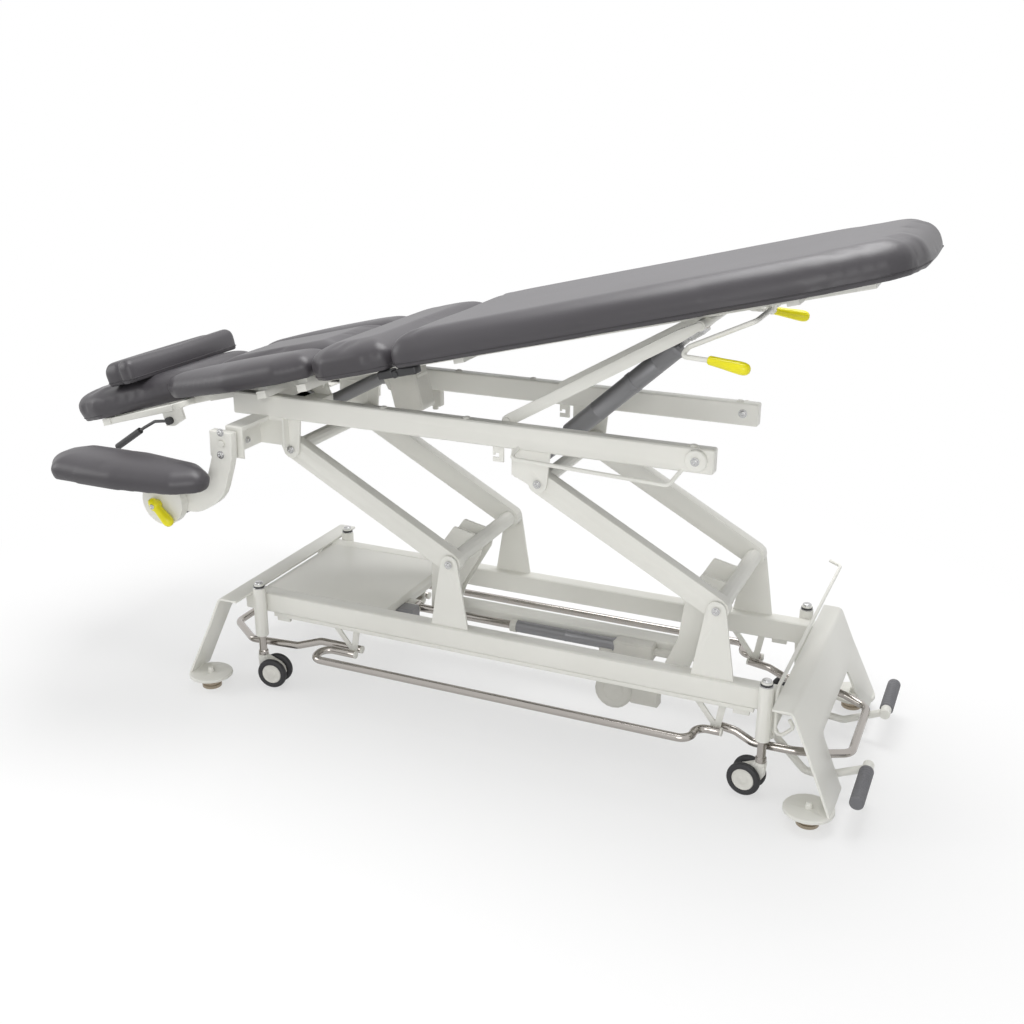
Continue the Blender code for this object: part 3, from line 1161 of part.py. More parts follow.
    pivot("head_hinge", tuple(HEAD_HINGE), "tilt_hinge")
    node("head_frame", head_frame(), PAINT, "head_hinge")
    head = mirrored([(-0.655, 0.185), (-0.720, 0.232), (-0.880, 0.228), (-0.972, 0.130)])
    node("head_pad", pad(head, [0.03, 0.06, 0.08, 0.09, 0.09, 0.08, 0.06, 0.03], PAD_THICK, 0.024, HEAD),
         LEATHER, "head_hinge")
    bolster = [(-0.880, -0.235), (-0.820, -0.235), (-0.820, 0.235), (-0.880, 0.235)]
    node("head_bolster", pad(bolster, 0.02, 0.058, 0.018, HEAD, PAD_THICK + TOUCH), LEATHER, "head_hinge")
    pivot("head_lever_pin", tuple(HEAD @ Vector((-0.715, -0.2055, -0.040))), "head_hinge")
    node("head_lever", head_lever(), BLACK, "head_lever_pin")

    for name, sign in SIDES.items():
        px, pz = ARMREST_PIVOT
        hinge = Matrix.Translation((px, 0, pz))
        raised = hinge @ Matrix.Rotation(ARMREST_RAISE[name], 4, "Y") @ hinge.inverted()
        clamp = Vector((CLAMP_X, 0, CLAMP_Z))
        shift = Matrix.Translation(raised @ clamp - clamp)
        pivot(f"armrest_pivot_{name}", (px, sign * 0.345, pz), "frame_pivot")
        node(f"armrest_arm_{name}", move(armrest_arm(sign), raised), PAINT, f"armrest_pivot_{name}")
        axis = shift @ Vector((CLAMP_X, sign * 0.345, CLAMP_Z))
        pivot(f"armrest_clamp_axis_{name}", axis, f"armrest_pivot_{name}")
        node(f"armrest_clamp_{name}", move(armrest_clamp(sign), shift), PAINT, f"armrest_clamp_axis_{name}")
        node(f"armrest_pad_{name}", move(armrest_pad(sign), shift), LEATHER, f"armrest_clamp_axis_{name}")
        lever_place = shift @ Vector((CLAMP_X - 0.010, sign * 0.39, CLAMP_Z - 0.006))
        pivot(f"armrest_lever_pin_{name}", lever_place, f"armrest_clamp_axis_{name}")
        node(f"armrest_lever_{name}", move(armrest_lever(sign), shift), YELLOW, f"armrest_lever_pin_{name}")
    centre()


def centre():
    """Carry everything on one empty, with the origin on the floor under the table's middle."""
    home = bpy.data.objects.new("table", None)
    MODEL.objects.link(home)
    for piece in MODEL.objects:
        if piece is not home and piece.parent is None:
            piece.parent = home
    bpy.context.view_layer.update()
    along = [(piece.matrix_world @ Vector(corner)).x
             for piece in MODEL.objects if piece.type == "MESH" for corner in piece.bound_box]
    home.location.x = -(min(along) + max(along)) / 2
    bpy.context.view_layer.update()


build()
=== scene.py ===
# %% [markdown]
# # An electric massage table, dressed for its photograph
# The steel frame, joints and plain cushions come from the CAD model. This lesson adds what a camera
# sees: powder coat, bright tube, rubber, moulded plastic and leatherette over foam. Every cell says
# what the piece is on the real table, how it could be made, and why it is made this way.

# %% Load the frame and measure it
import json
import math

import bmesh
import bpy
from mathutils import Matrix, Vector
from mathutils.bvhtree import BVHTree


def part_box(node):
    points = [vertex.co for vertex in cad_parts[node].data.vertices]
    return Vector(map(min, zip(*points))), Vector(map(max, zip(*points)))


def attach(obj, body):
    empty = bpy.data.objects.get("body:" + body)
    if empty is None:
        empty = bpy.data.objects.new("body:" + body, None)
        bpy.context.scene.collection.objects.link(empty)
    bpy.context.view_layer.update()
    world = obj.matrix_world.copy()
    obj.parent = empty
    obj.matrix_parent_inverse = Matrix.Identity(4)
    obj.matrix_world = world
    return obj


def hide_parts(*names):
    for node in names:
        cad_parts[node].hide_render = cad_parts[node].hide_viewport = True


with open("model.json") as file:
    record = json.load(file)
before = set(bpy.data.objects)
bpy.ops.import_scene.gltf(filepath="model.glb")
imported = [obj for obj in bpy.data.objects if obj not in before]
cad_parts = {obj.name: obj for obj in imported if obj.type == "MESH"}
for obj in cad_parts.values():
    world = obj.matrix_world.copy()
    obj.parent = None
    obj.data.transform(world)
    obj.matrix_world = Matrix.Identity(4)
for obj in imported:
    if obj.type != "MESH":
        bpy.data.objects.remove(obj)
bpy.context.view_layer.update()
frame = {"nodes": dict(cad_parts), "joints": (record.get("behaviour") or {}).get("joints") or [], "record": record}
NODES = frame["nodes"]
BODY_OF = {node: body for body, held in frame["record"]["behaviour"]["bodies"].items() for node in held}
rail_low, rail_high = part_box("base_side_near")
MID = (rail_low.x + rail_high.x) / 2        # the base rails' own middle, along the table

# %% [markdown]
# ## Helpers for shapes
# A lathe turns a profile into caps, wheels and knobs. A pipe follows a route with round bends, which
# suits foot bars and rods. Both return a bmesh; `solid` then makes it a smooth-shaded piece with a
# material, and lets it ride on the body that carries it.


# %% Make an object from a bmesh, and let it ride
def solid(name, form, material, body, smooth=35, replaces=()):
    """Turn a bmesh into a named piece that rides on a body of the frame."""
    mesh = bpy.data.meshes.new(name)
    form.to_mesh(mesh)
    form.free()
    return dress(bpy.data.objects.new(name, mesh), material, body, smooth, replaces)


def dress(piece, material, body, smooth=35, replaces=()):
    if piece.name not in bpy.context.scene.collection.all_objects:
        bpy.context.scene.collection.objects.link(piece)
    piece.data.materials.clear()
    piece.data.materials.append(material)
    piece.data.shade_smooth()
    piece.data.set_sharp_from_angle(angle=math.radians(smooth))
    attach(piece, body)
    if replaces:
        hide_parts(*replaces)
    return piece


# %% A lathe: rings of a profile around an axis
def lathe(profile, place=(0, 0, 0), direction=(0, 0, 1), steps=48, form=None):
    """Profile points are (radius, height), from one end of the axis to the other."""
    form = form or bmesh.new()
    turn = Matrix.Translation(place) @ Vector(direction).to_track_quat("Z", "Y").to_matrix().to_4x4()
    rings = []
    profile = [p for p, q in zip(profile, [None, *profile]) if p != q]
    for radius, height in profile:
        if radius < 1e-6:
            rings.append([form.verts.new(turn @ Vector((0, 0, height)))])
            continue
        angles = [2 * math.pi * k / steps for k in range(steps)]
        rings.append([form.verts.new(turn @ Vector((radius * math.cos(a), radius * math.sin(a), height)))
                      for a in angles])
    made = []
    for low, high in zip(rings, rings[1:]):
        for k in range(steps):
            m = (k + 1) % steps
            if len(low) == 1:
                made.append(form.faces.new((low[0], high[k], high[m])))
            elif len(high) == 1:
                made.append(form.faces.new((low[k], low[m], high[0])))
            else:
                made.append(form.faces.new((low[k], low[m], high[m], high[k])))
    bmesh.ops.recalc_face_normals(form, faces=made)
    return form


def soft(profile, edge=0.0008):
    """Cut each sharp corner of a profile with a short step, so that the turned edge catches light."""
    out = [profile[0]]
    for before, corner, after in zip(profile, profile[1:], profile[2:]):
        c = Vector(corner)
        back, ahead = Vector(before) - c, Vector(after) - c
        if corner[0] < 1e-6 or back.length < 1e-7 or ahead.length < 1e-7:
            out.append(corner)
            continue
        cut = min(edge, back.length * 0.4, ahead.length * 0.4)
        out += [tuple(c + back.normalized() * cut), tuple(c + ahead.normalized() * cut)]
    return out + [profile[-1]]


def stub(radius, start, end, edge):
    """The profile of a plain turned bar or disc, with its edges cut."""
    return soft([(0.0, start), (radius, start), (radius, end), (0.0, end)], edge)


# %% A pipe: a round bar along a route with rounded corners
def route_round(points, bend, steps=8):
    points = [Vector(p) for p in points]
    if bend == 0:
        return points
    bends = bend if isinstance(bend, (list, tuple)) else [bend] * len(points)
    line = [points[0]]
    for before, corner, after, bend in zip(points, points[1:], points[2:], bends):
        back, ahead = before - corner, after - corner
        half = back.angle(ahead) / 2
        if half > math.radians(89):
            line.append(corner)
            continue
        reach = min(bend / math.tan(half), back.length * 0.49, ahead.length * 0.49)
        radius = reach * math.tan(half)
        centre = corner + (back.normalized() + ahead.normalized()).normalized() * radius / math.sin(half)
        first = corner + back.normalized() * reach - centre
        last = corner + ahead.normalized() * reach - centre
        sweep = first.angle(last)
        for k in range(steps + 1):
            a = sweep * k / steps
            line.append(centre + (first * math.sin(sweep - a) + last * math.sin(a)) / math.sin(sweep))
    return line + [points[-1]]


def pipe(points, radius, bend=0.02, steps=8, sides=24, form=None, round_ends=0.25):
    """A tube with slightly domed ends; the cross-section is carried along without twist."""
    form = form or bmesh.new()
    line = route_round(points, bend, steps)
    tangent = [(line[min(i + 1, len(line) - 1)] - line[max(i - 1, 0)]).normalized() for i in range(len(line))]
    up = tangent[0].orthogonal().normalized()
    rings = []
    angles = [2 * math.pi * k / sides for k in range(sides)]
    for i, (spot, ahead) in enumerate(zip(line, tangent)):
        up = (up - ahead * up.dot(ahead)).normalized()
        side = ahead.cross(up)
        cuts = [(1.0, 0.0)]                  # each ring's share of the radius, and its shift along the pipe
        if i == 0:
            cuts = [(1 - round_ends, 0.0), (1.0, round_ends)]
        elif i == len(line) - 1:
            cuts = [(1.0, -round_ends), (1 - round_ends, 0.0)]
        for share, back in cuts:
            middle = spot + ahead * back * radius
            rings.append([form.verts.new(middle + (up * math.cos(a) + side * math.sin(a)) * radius * share)
                          for a in angles])
    made = []
    for low, high in zip(rings, rings[1:]):
        for k in range(sides):
            m = (k + 1) % sides
            made.append(form.faces.new((low[k], low[m], high[m], high[k])))
    made.append(form.faces.new(rings[0][::-1]))
    made.append(form.faces.new(rings[-1]))
    bmesh.ops.recalc_face_normals(form, faces=made)
    return form


# %% [markdown]
# ## Finishes
# Powder coat is a thick paint: even in colour, with a faint orange-peel skin that breaks up the
# highlight. It could be a flat grey-white, but then long rails look like paper, so a fine noise
# moves the bump and a wider one moves the colour by a shade.


# %% Start a material and reach its shader
def finish(name, colour, roughness, metallic=0.0, **sockets):
    made = bpy.data.materials.new(name)
    made.use_nodes = True
    shader = made.node_tree.nodes["Principled BSDF"]
    shader.inputs["Base Color"].default_value = (*colour, 1.0)
    shader.inputs["Roughness"].default_value = roughness
    shader.inputs["Metallic"].default_value = metallic
    for key, value in sockets.items():
        shader.inputs[key.replace("_", " ")].default_value = value
    return made


def noise(material, scale, detail=3.0, roughness=0.5, stretch=(1, 1, 1)):
    """A noise pattern in the piece's own metres."""
    tree = material.node_tree
    spot = tree.nodes.new("ShaderNodeTexCoord")
    fit = tree.nodes.new("ShaderNodeMapping")
    fit.inputs["Scale"].default_value = stretch
    made = tree.nodes.new("ShaderNodeTexNoise")
    made.inputs["Scale"].default_value = scale
    made.inputs["Detail"].default_value = detail
    made.inputs["Roughness"].default_value = roughness
    tree.links.new(spot.outputs["Object"], fit.inputs["Vector"])
    tree.links.new(fit.outputs["Vector"], made.inputs["Vector"])
    return made.outputs["Fac"]


def shade(material, factor, dark, light, low=0.3, high=0.7, socket="Base Color"):
    """Lead a pattern through a ramp to the shader: colours, or plain numbers for roughness."""
    tree = material.node_tree
    ramp = tree.nodes.new("ShaderNodeValToRGB")
    ramp.color_ramp.elements[0].position, ramp.color_ramp.elements[1].position = low, high
    for stop, value in zip(ramp.color_ramp.elements, (dark, light)):
        stop.color = (*value, 1.0) if isinstance(value, tuple) else (value, value, value, 1.0)
    tree.links.new(factor, ramp.inputs["Fac"])
    tree.links.new(ramp.outputs["Color"], tree.nodes["Principled BSDF"].inputs[socket])


def emboss(material, heights, distance):
    """Add height patterns as one bump; each is a factor and its share."""
    tree = material.node_tree
    total = None
    for factor, share in heights:
        part = tree.nodes.new("ShaderNodeMath")
        part.operation = "MULTIPLY"
        part.inputs[1].default_value = share
        tree.links.new(factor, part.inputs[0])
        if total is None:
            total = part.outputs[0]
            continue
        plus = tree.nodes.new("ShaderNodeMath")
        plus.operation = "ADD"
        tree.links.new(total, plus.inputs[0])
        tree.links.new(part.outputs[0], plus.inputs[1])
        total = plus.outputs[0]
    bump = tree.nodes.new("ShaderNodeBump")
    bump.inputs["Distance"].default_value = distance
    bump.inputs["Strength"].default_value = 0.6
    tree.links.new(total, bump.inputs["Height"])
    tree.links.new(bump.outputs["Normal"], tree.nodes["Principled BSDF"].inputs["Normal"])


# %% Powder coat on the steel
def powder_coat(name, dark, light, roughness=0.36):
    made = finish(name, light, roughness, Specular_IOR_Level=0.45)
    shade(made, noise(made, 3.0, 4.0), dark, light, 0.35, 0.65)
    emboss(made, [(noise(made, 900.0, 2.0), 1.0), (noise(made, 260.0, 1.0), 0.8)], 0.00006)
    return made


COAT = powder_coat("warm_white_powder_coat", (0.74, 0.735, 0.685), (0.79, 0.785, 0.735))
PEDAL_COAT = powder_coat("pedal_powder_coat", (0.73, 0.725, 0.675), (0.78, 0.775, 0.725), 0.32)

# %% [markdown]
# Bare metal is told apart by its highlight. The foot control is polished stainless tube, so it is
# nearly a mirror with fine lines along it; screws are zinc, and feet nickel, warmer and duller.


# %% Bare metals
def bare_metal(name, colour, roughness, lines=(40, 400, 400)):
    made = finish(name, colour, roughness, 1.0)
    shade(made, noise(made, 8.0, 5.0, 0.6, lines), roughness * 0.75, roughness * 1.35, 0.3, 0.7, "Roughness")
    emboss(made, [(noise(made, 10.0, 3.0, 0.5, lines), 1.0)], 0.00003)
    return made


STAINLESS = bare_metal("polished_stainless", (0.42, 0.395, 0.37), 0.15)
ZINC = bare_metal("zinc_screws", (0.55, 0.55, 0.55), 0.24)
NICKEL = bare_metal("nickel_feet", (0.36, 0.31, 0.24), 0.26, (300, 300, 60))
ANODISED = bare_metal("anodised_tube", (0.25, 0.25, 0.26), 0.42, (60, 300, 300))
ANODISED.node_tree.nodes["Principled BSDF"].inputs["Metallic"].default_value = 0.45

# %% [markdown]
# Plastic parts are moulded. A fine, soft grain hides fingerprints on housings and grips, so the
# bump is a small Voronoi pattern and the gloss stays low.


# %% Plastics and rubber
def moulded(name, colour, roughness, grain=700.0, depth=0.00005, **sockets):
    made = finish(name, colour, roughness, 0.0, **sockets)
    tree = made.node_tree
    spot = tree.nodes.new("ShaderNodeTexCoord")
    cells = tree.nodes.new("ShaderNodeTexVoronoi")
    cells.inputs["Scale"].default_value = grain
    tree.links.new(spot.outputs["Object"], cells.inputs["Vector"])
    dark = tuple(c * 0.9 for c in colour)
    shade(made, noise(made, 12.0, 3.0), dark, colour, 0.35, 0.65)
    emboss(made, [(cells.outputs["Distance"], 1.0), (noise(made, grain * 0.4, 2.0), 0.5)], depth)
    return made


BLACK = moulded("black_plastic", (0.035, 0.035, 0.037), 0.42)
DARK_HUB = moulded("dark_cover", (0.09, 0.09, 0.095), 0.5)
TYRE = moulded("tyre_rubber", (0.028, 0.028, 0.030), 0.62, 400.0, 0.0001)
WHEEL_WHITE = moulded("wheel_disc", (0.74, 0.73, 0.68), 0.38)
HOUSING = moulded("cream_housing", (0.66, 0.65, 0.60), 0.42, 500.0, 0.00008)
GREY_BOX = moulded("grey_housing", (0.27, 0.27, 0.28), 0.48)
GREY_GRIP = moulded("grey_rubber_grip", (0.16, 0.16, 0.17), 0.6, 350.0, 0.00012)
YELLOW = moulded("yellow_grip_plastic", (0.88, 0.80, 0.008), 0.32, 500.0, 0.00004)

# %% [markdown]
# ## Leatherette
# The cushions wear a coated cloth with a fine pebble grain. At arm's length the grain only breaks up
# the highlight; close by, small cells meet in shallow creases. Two Voronoi patterns of different
# size give cells within cells, and a wide noise gives the slow change of tone of a stretched cover.

# %% Leatherette with a pebble grain
LEATHER = finish("grey_leatherette", (0.062, 0.058, 0.063), 0.40, Specular_IOR_Level=0.45)
tree = LEATHER.node_tree
spot = tree.nodes.new("ShaderNodeTexCoord")
heights = []
for scale, share in ((520.0, 1.0), (210.0, 0.6)):
    cells = tree.nodes.new("ShaderNodeTexVoronoi")
    cells.feature = "DISTANCE_TO_EDGE"
    cells.inputs["Scale"].default_value = scale
    tree.links.new(spot.outputs["Object"], cells.inputs["Vector"])
    heights.append((cells.outputs["Distance"], share))
heights.append((noise(LEATHER, 60.0, 3.0), 0.25))
emboss(LEATHER, heights, 0.00012)
shade(LEATHER, noise(LEATHER, 5.0, 4.0), (0.052, 0.048, 0.053), (0.062, 0.058, 0.064), 0.3, 0.7)
SEAM = finish("seam_thread", (0.035, 0.033, 0.036), 0.7)
shade(SEAM, noise(SEAM, 900.0, 2.0), (0.028, 0.026, 0.029), (0.045, 0.042, 0.046))
UNDER = moulded("cushion_board", (0.045, 0.045, 0.048), 0.7)

# %% [markdown]
# ## Steel nodes
# The tubes and plates keep their CAD shape. Real tube has a rounded corner that catches the light,
# so each plate and tube is copied, its triangles are merged back into flat faces, and a small bevel
# runs along the sharp edges. The copy then stands for the node.


# %% A block with rounded edges
def box_form(low, high, edge=0.0, form=None):
    """A box between two corners; its edges are rounded where an edge width is given."""
    form = form or bmesh.new()
    made = bmesh.ops.create_cube(form, size=1.0)["verts"]
    low, high = Vector(low), Vector(high)
    for vertex in made:
        vertex.co = Vector(a + (b - a) * (c + 0.5) for a, b, c in zip(low, high, vertex.co))
    if edge:
        rims = list({e for v in made for e in v.link_edges})
        bmesh.ops.bevel(form, geom=rims, offset=edge, segments=3, profile=0.5, affect="EDGES")
    return form


# %% Round the edges of a steel node
def rounded_copy(node, material, width, angle=28, cuts=()):
    """A node's own mesh with rounded edges; cuts are boxes (low, high) that are opened first."""
    form = bmesh.new()
    form.from_mesh(NODES[node].data)
    bmesh.ops.remove_doubles(form, verts=form.verts, dist=0.00002)
    bmesh.ops.dissolve_limit(form, angle_limit=math.radians(0.6), verts=form.verts, edges=form.edges)
    mesh = bpy.data.meshes.new(f"{node}_steel")
    form.to_mesh(mesh)
    form.free()
    piece = bpy.data.objects.new(f"{node}_steel", mesh)
    bpy.context.scene.collection.objects.link(piece)
    cutters = []
    for low, high in cuts:
        block = box_form(low, high)
        data = bpy.data.meshes.new("cutter")
        block.to_mesh(data)
        block.free()
        cutters.append(bpy.data.objects.new("cutter", data))
        bpy.context.scene.collection.objects.link(cutters[-1])
        opened = piece.modifiers.new("opened", "BOOLEAN")
        opened.operation, opened.object = "DIFFERENCE", cutters[-1]
    edge = piece.modifiers.new("edge", "BEVEL")
    edge.width, edge.segments, edge.limit_method, edge.angle_limit = width, 2, "ANGLE", math.radians(angle)
    edge.use_clamp_overlap = True
    edge.harden_normals = False
    bpy.context.view_layer.update()
    seen = piece.evaluated_get(bpy.context.evaluated_depsgraph_get())
    rounded = bpy.data.meshes.new_from_object(seen)
    piece.modifiers.clear()
    piece.data = rounded
    for cutter in cutters:
        bpy.data.objects.remove(cutter)
    return dress(piece, material, BODY_OF[node], 40, [node])


EDGES = {"base_side_near": 0.0007, "base_side_far": 0.0007, "head_leg": 0.0012, "foot_leg": 0.0012,
         "base_tray": 0.0015, "connecting_bar": 0.0010, "head_arms": 0.0016, "foot_arms": 0.0016,
         "upper_frame": 0.0007, "top_frame": 0.0007, "head_frame": 0.0007, "actuator_beam": 0.0008,
         "lifting_fork": 0.0012, "push_rod_near": 0.0008, "push_rod_far": 0.0008,
         "armrest_arm_near": 0.0016, "armrest_arm_far": 0.0016}
ARM_X = MID - 0.620                       # the armrests' pivots
CHANNEL_IN, CHANNEL_OUT = 0.2132, 0.330   # how far from the table's middle a channel starts and ends
CHANNELS = [sorted((sign * CHANNEL_IN, sign * CHANNEL_OUT)) for sign in (-1, 1)]
CUTS = {"upper_frame": [((ARM_X + 0.036, y[0], 0.600), (ARM_X + 0.090, y[1], 0.7400)) for y in CHANNELS]}
for node, width in EDGES.items():
    rounded_copy(node, COAT, width, cuts=CUTS.get(node, ()))
print("steel nodes", len(EDGES))

# %% Give every other node its finish
for node, thing in NODES.items():
    if node in EDGES:
        continue
    wear = (STAINLESS if node.startswith(("foot_bar", "caster_stem", "lift_rod", "tilt_rod")) else
            NICKEL if node.startswith(("levelling", "spring_rod")) else
            TYRE if node.startswith("caster_wheels") else
            HOUSING if node in ("lift_actuator", "tilt_motor") else
            ANODISED if node == "gas_spring" else GREY_BOX if node == "control_box" else
            BLACK if node == "head_lever" else YELLOW if node.startswith("armrest_lever") else COAT)
    thing.data.materials.clear()
    thing.data.materials.append(wear)
print("other nodes", len(NODES) - len(EDGES))

# %% [markdown]
# ## Cushions
# A treatment cushion is foam on a board with a cover pulled round it: flat underneath, nearly flat on
# top, a full rounded shoulder, and a side that draws in a little towards the board. A bevelled slab
# looks like wood, and sculpting by hand is slow. So each outline is raised into a prism and remeshed
# into even squares, its shoulder is set by each point's distance from the side wall, and then it is
# blown up a little as cloth with air inside while its board stays put. A cap keeps the swelling
# within a few millimetres.


# %% Places on the tilted top and on the head section
TOP_TILT = math.radians(14)
HEAD_DROP = math.radians(2)
HINGE_U, HINGE_W = -0.614, -0.0103
TOP = Matrix.Translation((MID - 0.206, 0, 0.890)) @ Matrix.Rotation(-TOP_TILT, 4, "Y")
HEAD = (TOP @ Matrix.Translation((HINGE_U, 0, HINGE_W)) @ Matrix.Rotation(-HEAD_DROP, 4, "Y")
        @ Matrix.Translation((-HINGE_U, 0, -HINGE_W)))


def joint(name):
    return next(j for j in frame["joints"] if j["name"] == name)


def mirrored(half):
    """An outline from its half on the +v side, closed by the same half on the other side."""
    return [Vector((u, v, 0)) for u, v in half] + [Vector((u, -v, 0)) for u, v in reversed(half)]


def closed(outline, bend):
    """Round every corner of a closed outline."""
    start = (outline[0] + outline[-1]) / 2
    return route_round([start, *outline, start], bend, 12)[1:-1]


# %% Raise an outline into a prism and give it a soft shoulder
def prism(outline, low, high):
    form = bmesh.new()
    rings = [[form.verts.new((p.x, p.y, w)) for p in outline] for w in (low, high)]
    walls = [form.faces.new((rings[0][k - 1], rings[0][k], rings[1][k], rings[1][k - 1]))
             for k in range(len(outline))]
    form.faces.new(rings[0])
    form.faces.new(rings[1])
    bmesh.ops.recalc_face_normals(form, faces=form.faces)
    return form, walls


def evaluated(piece):
    """Apply all modifiers of a piece, as the viewport shows them."""
    bpy.context.view_layer.update()
    seen = piece.evaluated_get(bpy.context.evaluated_depsgraph_get())
    mesh = bpy.data.meshes.new_from_object(seen)
    piece.modifiers.clear()
    piece.data = mesh
    return piece


def shoulders(mesh, walls, low, high, edge, width, tuck):
    """Lower the top towards the wall along a quarter ellipse, and draw the foot of the wall in."""
    thick = high - low
    for vertex in mesh.vertices:
        spot = vertex.co
        _, out, _, gap = walls.find_nearest(Vector((spot.x, spot.y, (low + high) / 2)))
        share = min(max((spot.z - low) / thick, 0.0), 1.0)
        near = 1.0 - min(gap / width, 1.0)
        spot.z = low + thick * share * (edge + (1.0 - edge) * math.sqrt(1.0 - near * near))
        away = Vector((out.x, out.y, 0)).normalized()
        spot.x -= away.x * tuck * (1.0 - share) ** 2 * near
        spot.y -= away.y * tuck * (1.0 - share) ** 2 * near


# %% Blow up one cushion
BOARD_BAND = 0.004             # what lies this close to the board is held, and wears the underside's finish
WELT_R, WELT_UP = 0.0013, 0.010


def swell(piece, held, cap, pressure, frames):
    """Cloth with air inside; the board's points are held, and no point goes further than the cap."""
    rest = [v.co.copy() for v in piece.data.vertices]
    piece.vertex_groups.new(name="board").add(held, 1.0, "REPLACE")
    cloth = piece.modifiers.new("cover", "CLOTH")
    cloth.settings.quality = 4
    cloth.settings.mass = 0.25
    cloth.settings.tension_stiffness = cloth.settings.compression_stiffness = 30
    cloth.settings.shear_stiffness = 12
    cloth.settings.bending_stiffness = 4
    cloth.settings.use_pressure = True
    cloth.settings.uniform_pressure_force = pressure
    cloth.settings.effector_weights.gravity = 0.0
    cloth.settings.vertex_group_mass = "board"
    cloth.collision_settings.use_collision = False
    cloth.point_cache.frame_start, cloth.point_cache.frame_end = 1, frames
    for step in range(1, frames + 1):
        bpy.context.scene.frame_set(step)
    evaluated(piece)
    piece.vertex_groups.clear()
    bpy.context.scene.frame_set(1)
    far = 0.0
    for vertex, start in zip(piece.data.vertices, rest):
        step = vertex.co - start
        if step.length > cap:
            step *= cap / step.length
        vertex.co = start + step
        far = max(far, step.length)
    return far


def cushion(name, node, outline, low, high, place, voxel, edge=0.50, width=0.055, tuck=0.010,
            cap=0.004, pressure=3.0, frames=12, bend=0.03, stands_for=True):
    """A cushion with rounded shoulders on its board; it rides with a node, and may stand for its solid."""
    round_line = closed(outline, bend)
    form, walls = prism(round_line, low, high)
    faces = [[v.co.copy() for v in wall.verts] for wall in walls]
    tree = BVHTree.FromPolygons([spot for wall in faces for spot in wall],
                                [tuple(range(4 * k, 4 * k + 4)) for k in range(len(faces))])
    mesh = bpy.data.meshes.new(name)
    form.to_mesh(mesh)
    form.free()
    piece = bpy.data.objects.new(name, mesh)
    bpy.context.scene.collection.objects.link(piece)
    grid = piece.modifiers.new("grid", "REMESH")
    grid.mode, grid.voxel_size = "VOXEL", voxel
    evaluated(piece)
    shoulders(piece.data, tree, low, high, edge, width, tuck)
    even = piece.modifiers.new("even", "SMOOTH")
    even.factor, even.iterations = 0.5, 3
    evaluated(piece)
    held = [v.index for v in piece.data.vertices if v.co.z < low + BOARD_BAND]
    far = swell(piece, held, cap, pressure, frames)
    relax = piece.modifiers.new("relax", "SMOOTH")
    relax.factor, relax.iterations = 0.5, 2
    finer = piece.modifiers.new("finer", "SUBSURF")
    finer.levels = finer.render_levels = 1
    evaluated(piece)
    under = [face.index for face in piece.data.polygons
             if face.normal.z < -0.8 and face.center.z < low + BOARD_BAND]
    piece.data.transform(place)
    dress(piece, LEATHER, BODY_OF[node], 180, [node] if stands_for else ())
    piece.data.materials.append(UNDER)
    for index in under:
        piece.data.polygons[index].material_index = 1
    rim = [place @ Vector((p.x, p.y, low + WELT_UP)) for p in inset(round_line, tuck * 0.72 - 0.0004)]
    welt = pipe([*rim, rim[0]], WELT_R, 0.0, 1, 6, round_ends=0.0)
    solid(name + "_welt", welt, SEAM, BODY_OF[node], 60)
    print(name, len(piece.data.vertices), "vertices, swollen by", round(far * 1000, 1), "mm")
    return piece


def inset(line, step):
    """Move a closed outline inwards by a small step."""
    middle = sum(line, Vector()) / len(line)
    out = []
    for k, spot in enumerate(line):
        ahead = (line[(k + 1) % len(line)] - line[k - 1]).normalized()
        away = Vector((ahead.y, -ahead.x, 0))
        out.append(spot - away * step * (1 if away.dot(spot - middle) > 0 else -1))
    return out


# %% The cushions of the top
PAD = 0.070
LEG = [(1.113, 0.120), (1.085, 0.225), (0.920, 0.280), (0.300, 0.303), (0.030, 0.304), (0.000, 0.290)]
LEG_BENDS = [0.06, 0.08, 0.3, 0.5, 0.03, 0.02]
cushion("leg_cushion", "leg_pad", mirrored(LEG), 0.0, PAD, TOP, 0.009, tuck=0.006,
        bend=LEG_BENDS + LEG_BENDS[::-1])
cushion("pelvis_cushion", "pelvis_pad",
        mirrored([(-0.006, 0.286), (-0.070, 0.303), (-0.170, 0.303), (-0.219, 0.268)]), 0.0, PAD, TOP, 0.007,
        tuck=0.007)
cushion("chest_cushion", "chest_pad", mirrored([(-0.223, 0.151), (-0.420, 0.139), (-0.604, 0.151)]),
        0.0, PAD, TOP, 0.007, bend=0.02)
WING = [(-0.223, 0.156), (-0.223, 0.268), (-0.300, 0.305), (-0.450, 0.300), (-0.640, 0.246),
        (-0.700, 0.205), (-0.640, 0.166), (-0.420, 0.144)]
for side, sign in (("near", -1), ("far", 1)):
    wing = [Vector((u, sign * v, 0)) for u, v in WING]
    cushion(f"wing_cushion_{side}", f"wing_pad_{side}", wing, 0.010, PAD, TOP, 0.006, bend=0.025)

# %% The head cushion and its bolster of two bars; where the second bar stands is a guess
cushion("head_cushion", "head_pad",
        mirrored([(-0.655, 0.150), (-0.750, 0.184), (-0.925, 0.226), (-1.000, 0.205), (-1.036, 0.130)]),
        0.0, PAD, HEAD, 0.007, edge=0.55, width=0.045, bend=0.05)
BOLSTER_LOW = PAD + 0.0015                # just clear of the head cushion
cushion("bolster_front", "head_bolster", mirrored([(-0.820, 0.203), (-0.880, 0.203)]), BOLSTER_LOW, 0.131,
        HEAD, 0.006, edge=0.62, width=0.022, tuck=0.002, cap=0.003, bend=0.018)
cushion("bolster_back", "head_bolster", mirrored([(-0.772, 0.222), (-0.814, 0.222)]), BOLSTER_LOW, 0.133,
        HEAD, 0.006, edge=0.66, width=0.018, tuck=0.002, cap=0.003, bend=0.014, stands_for=False)

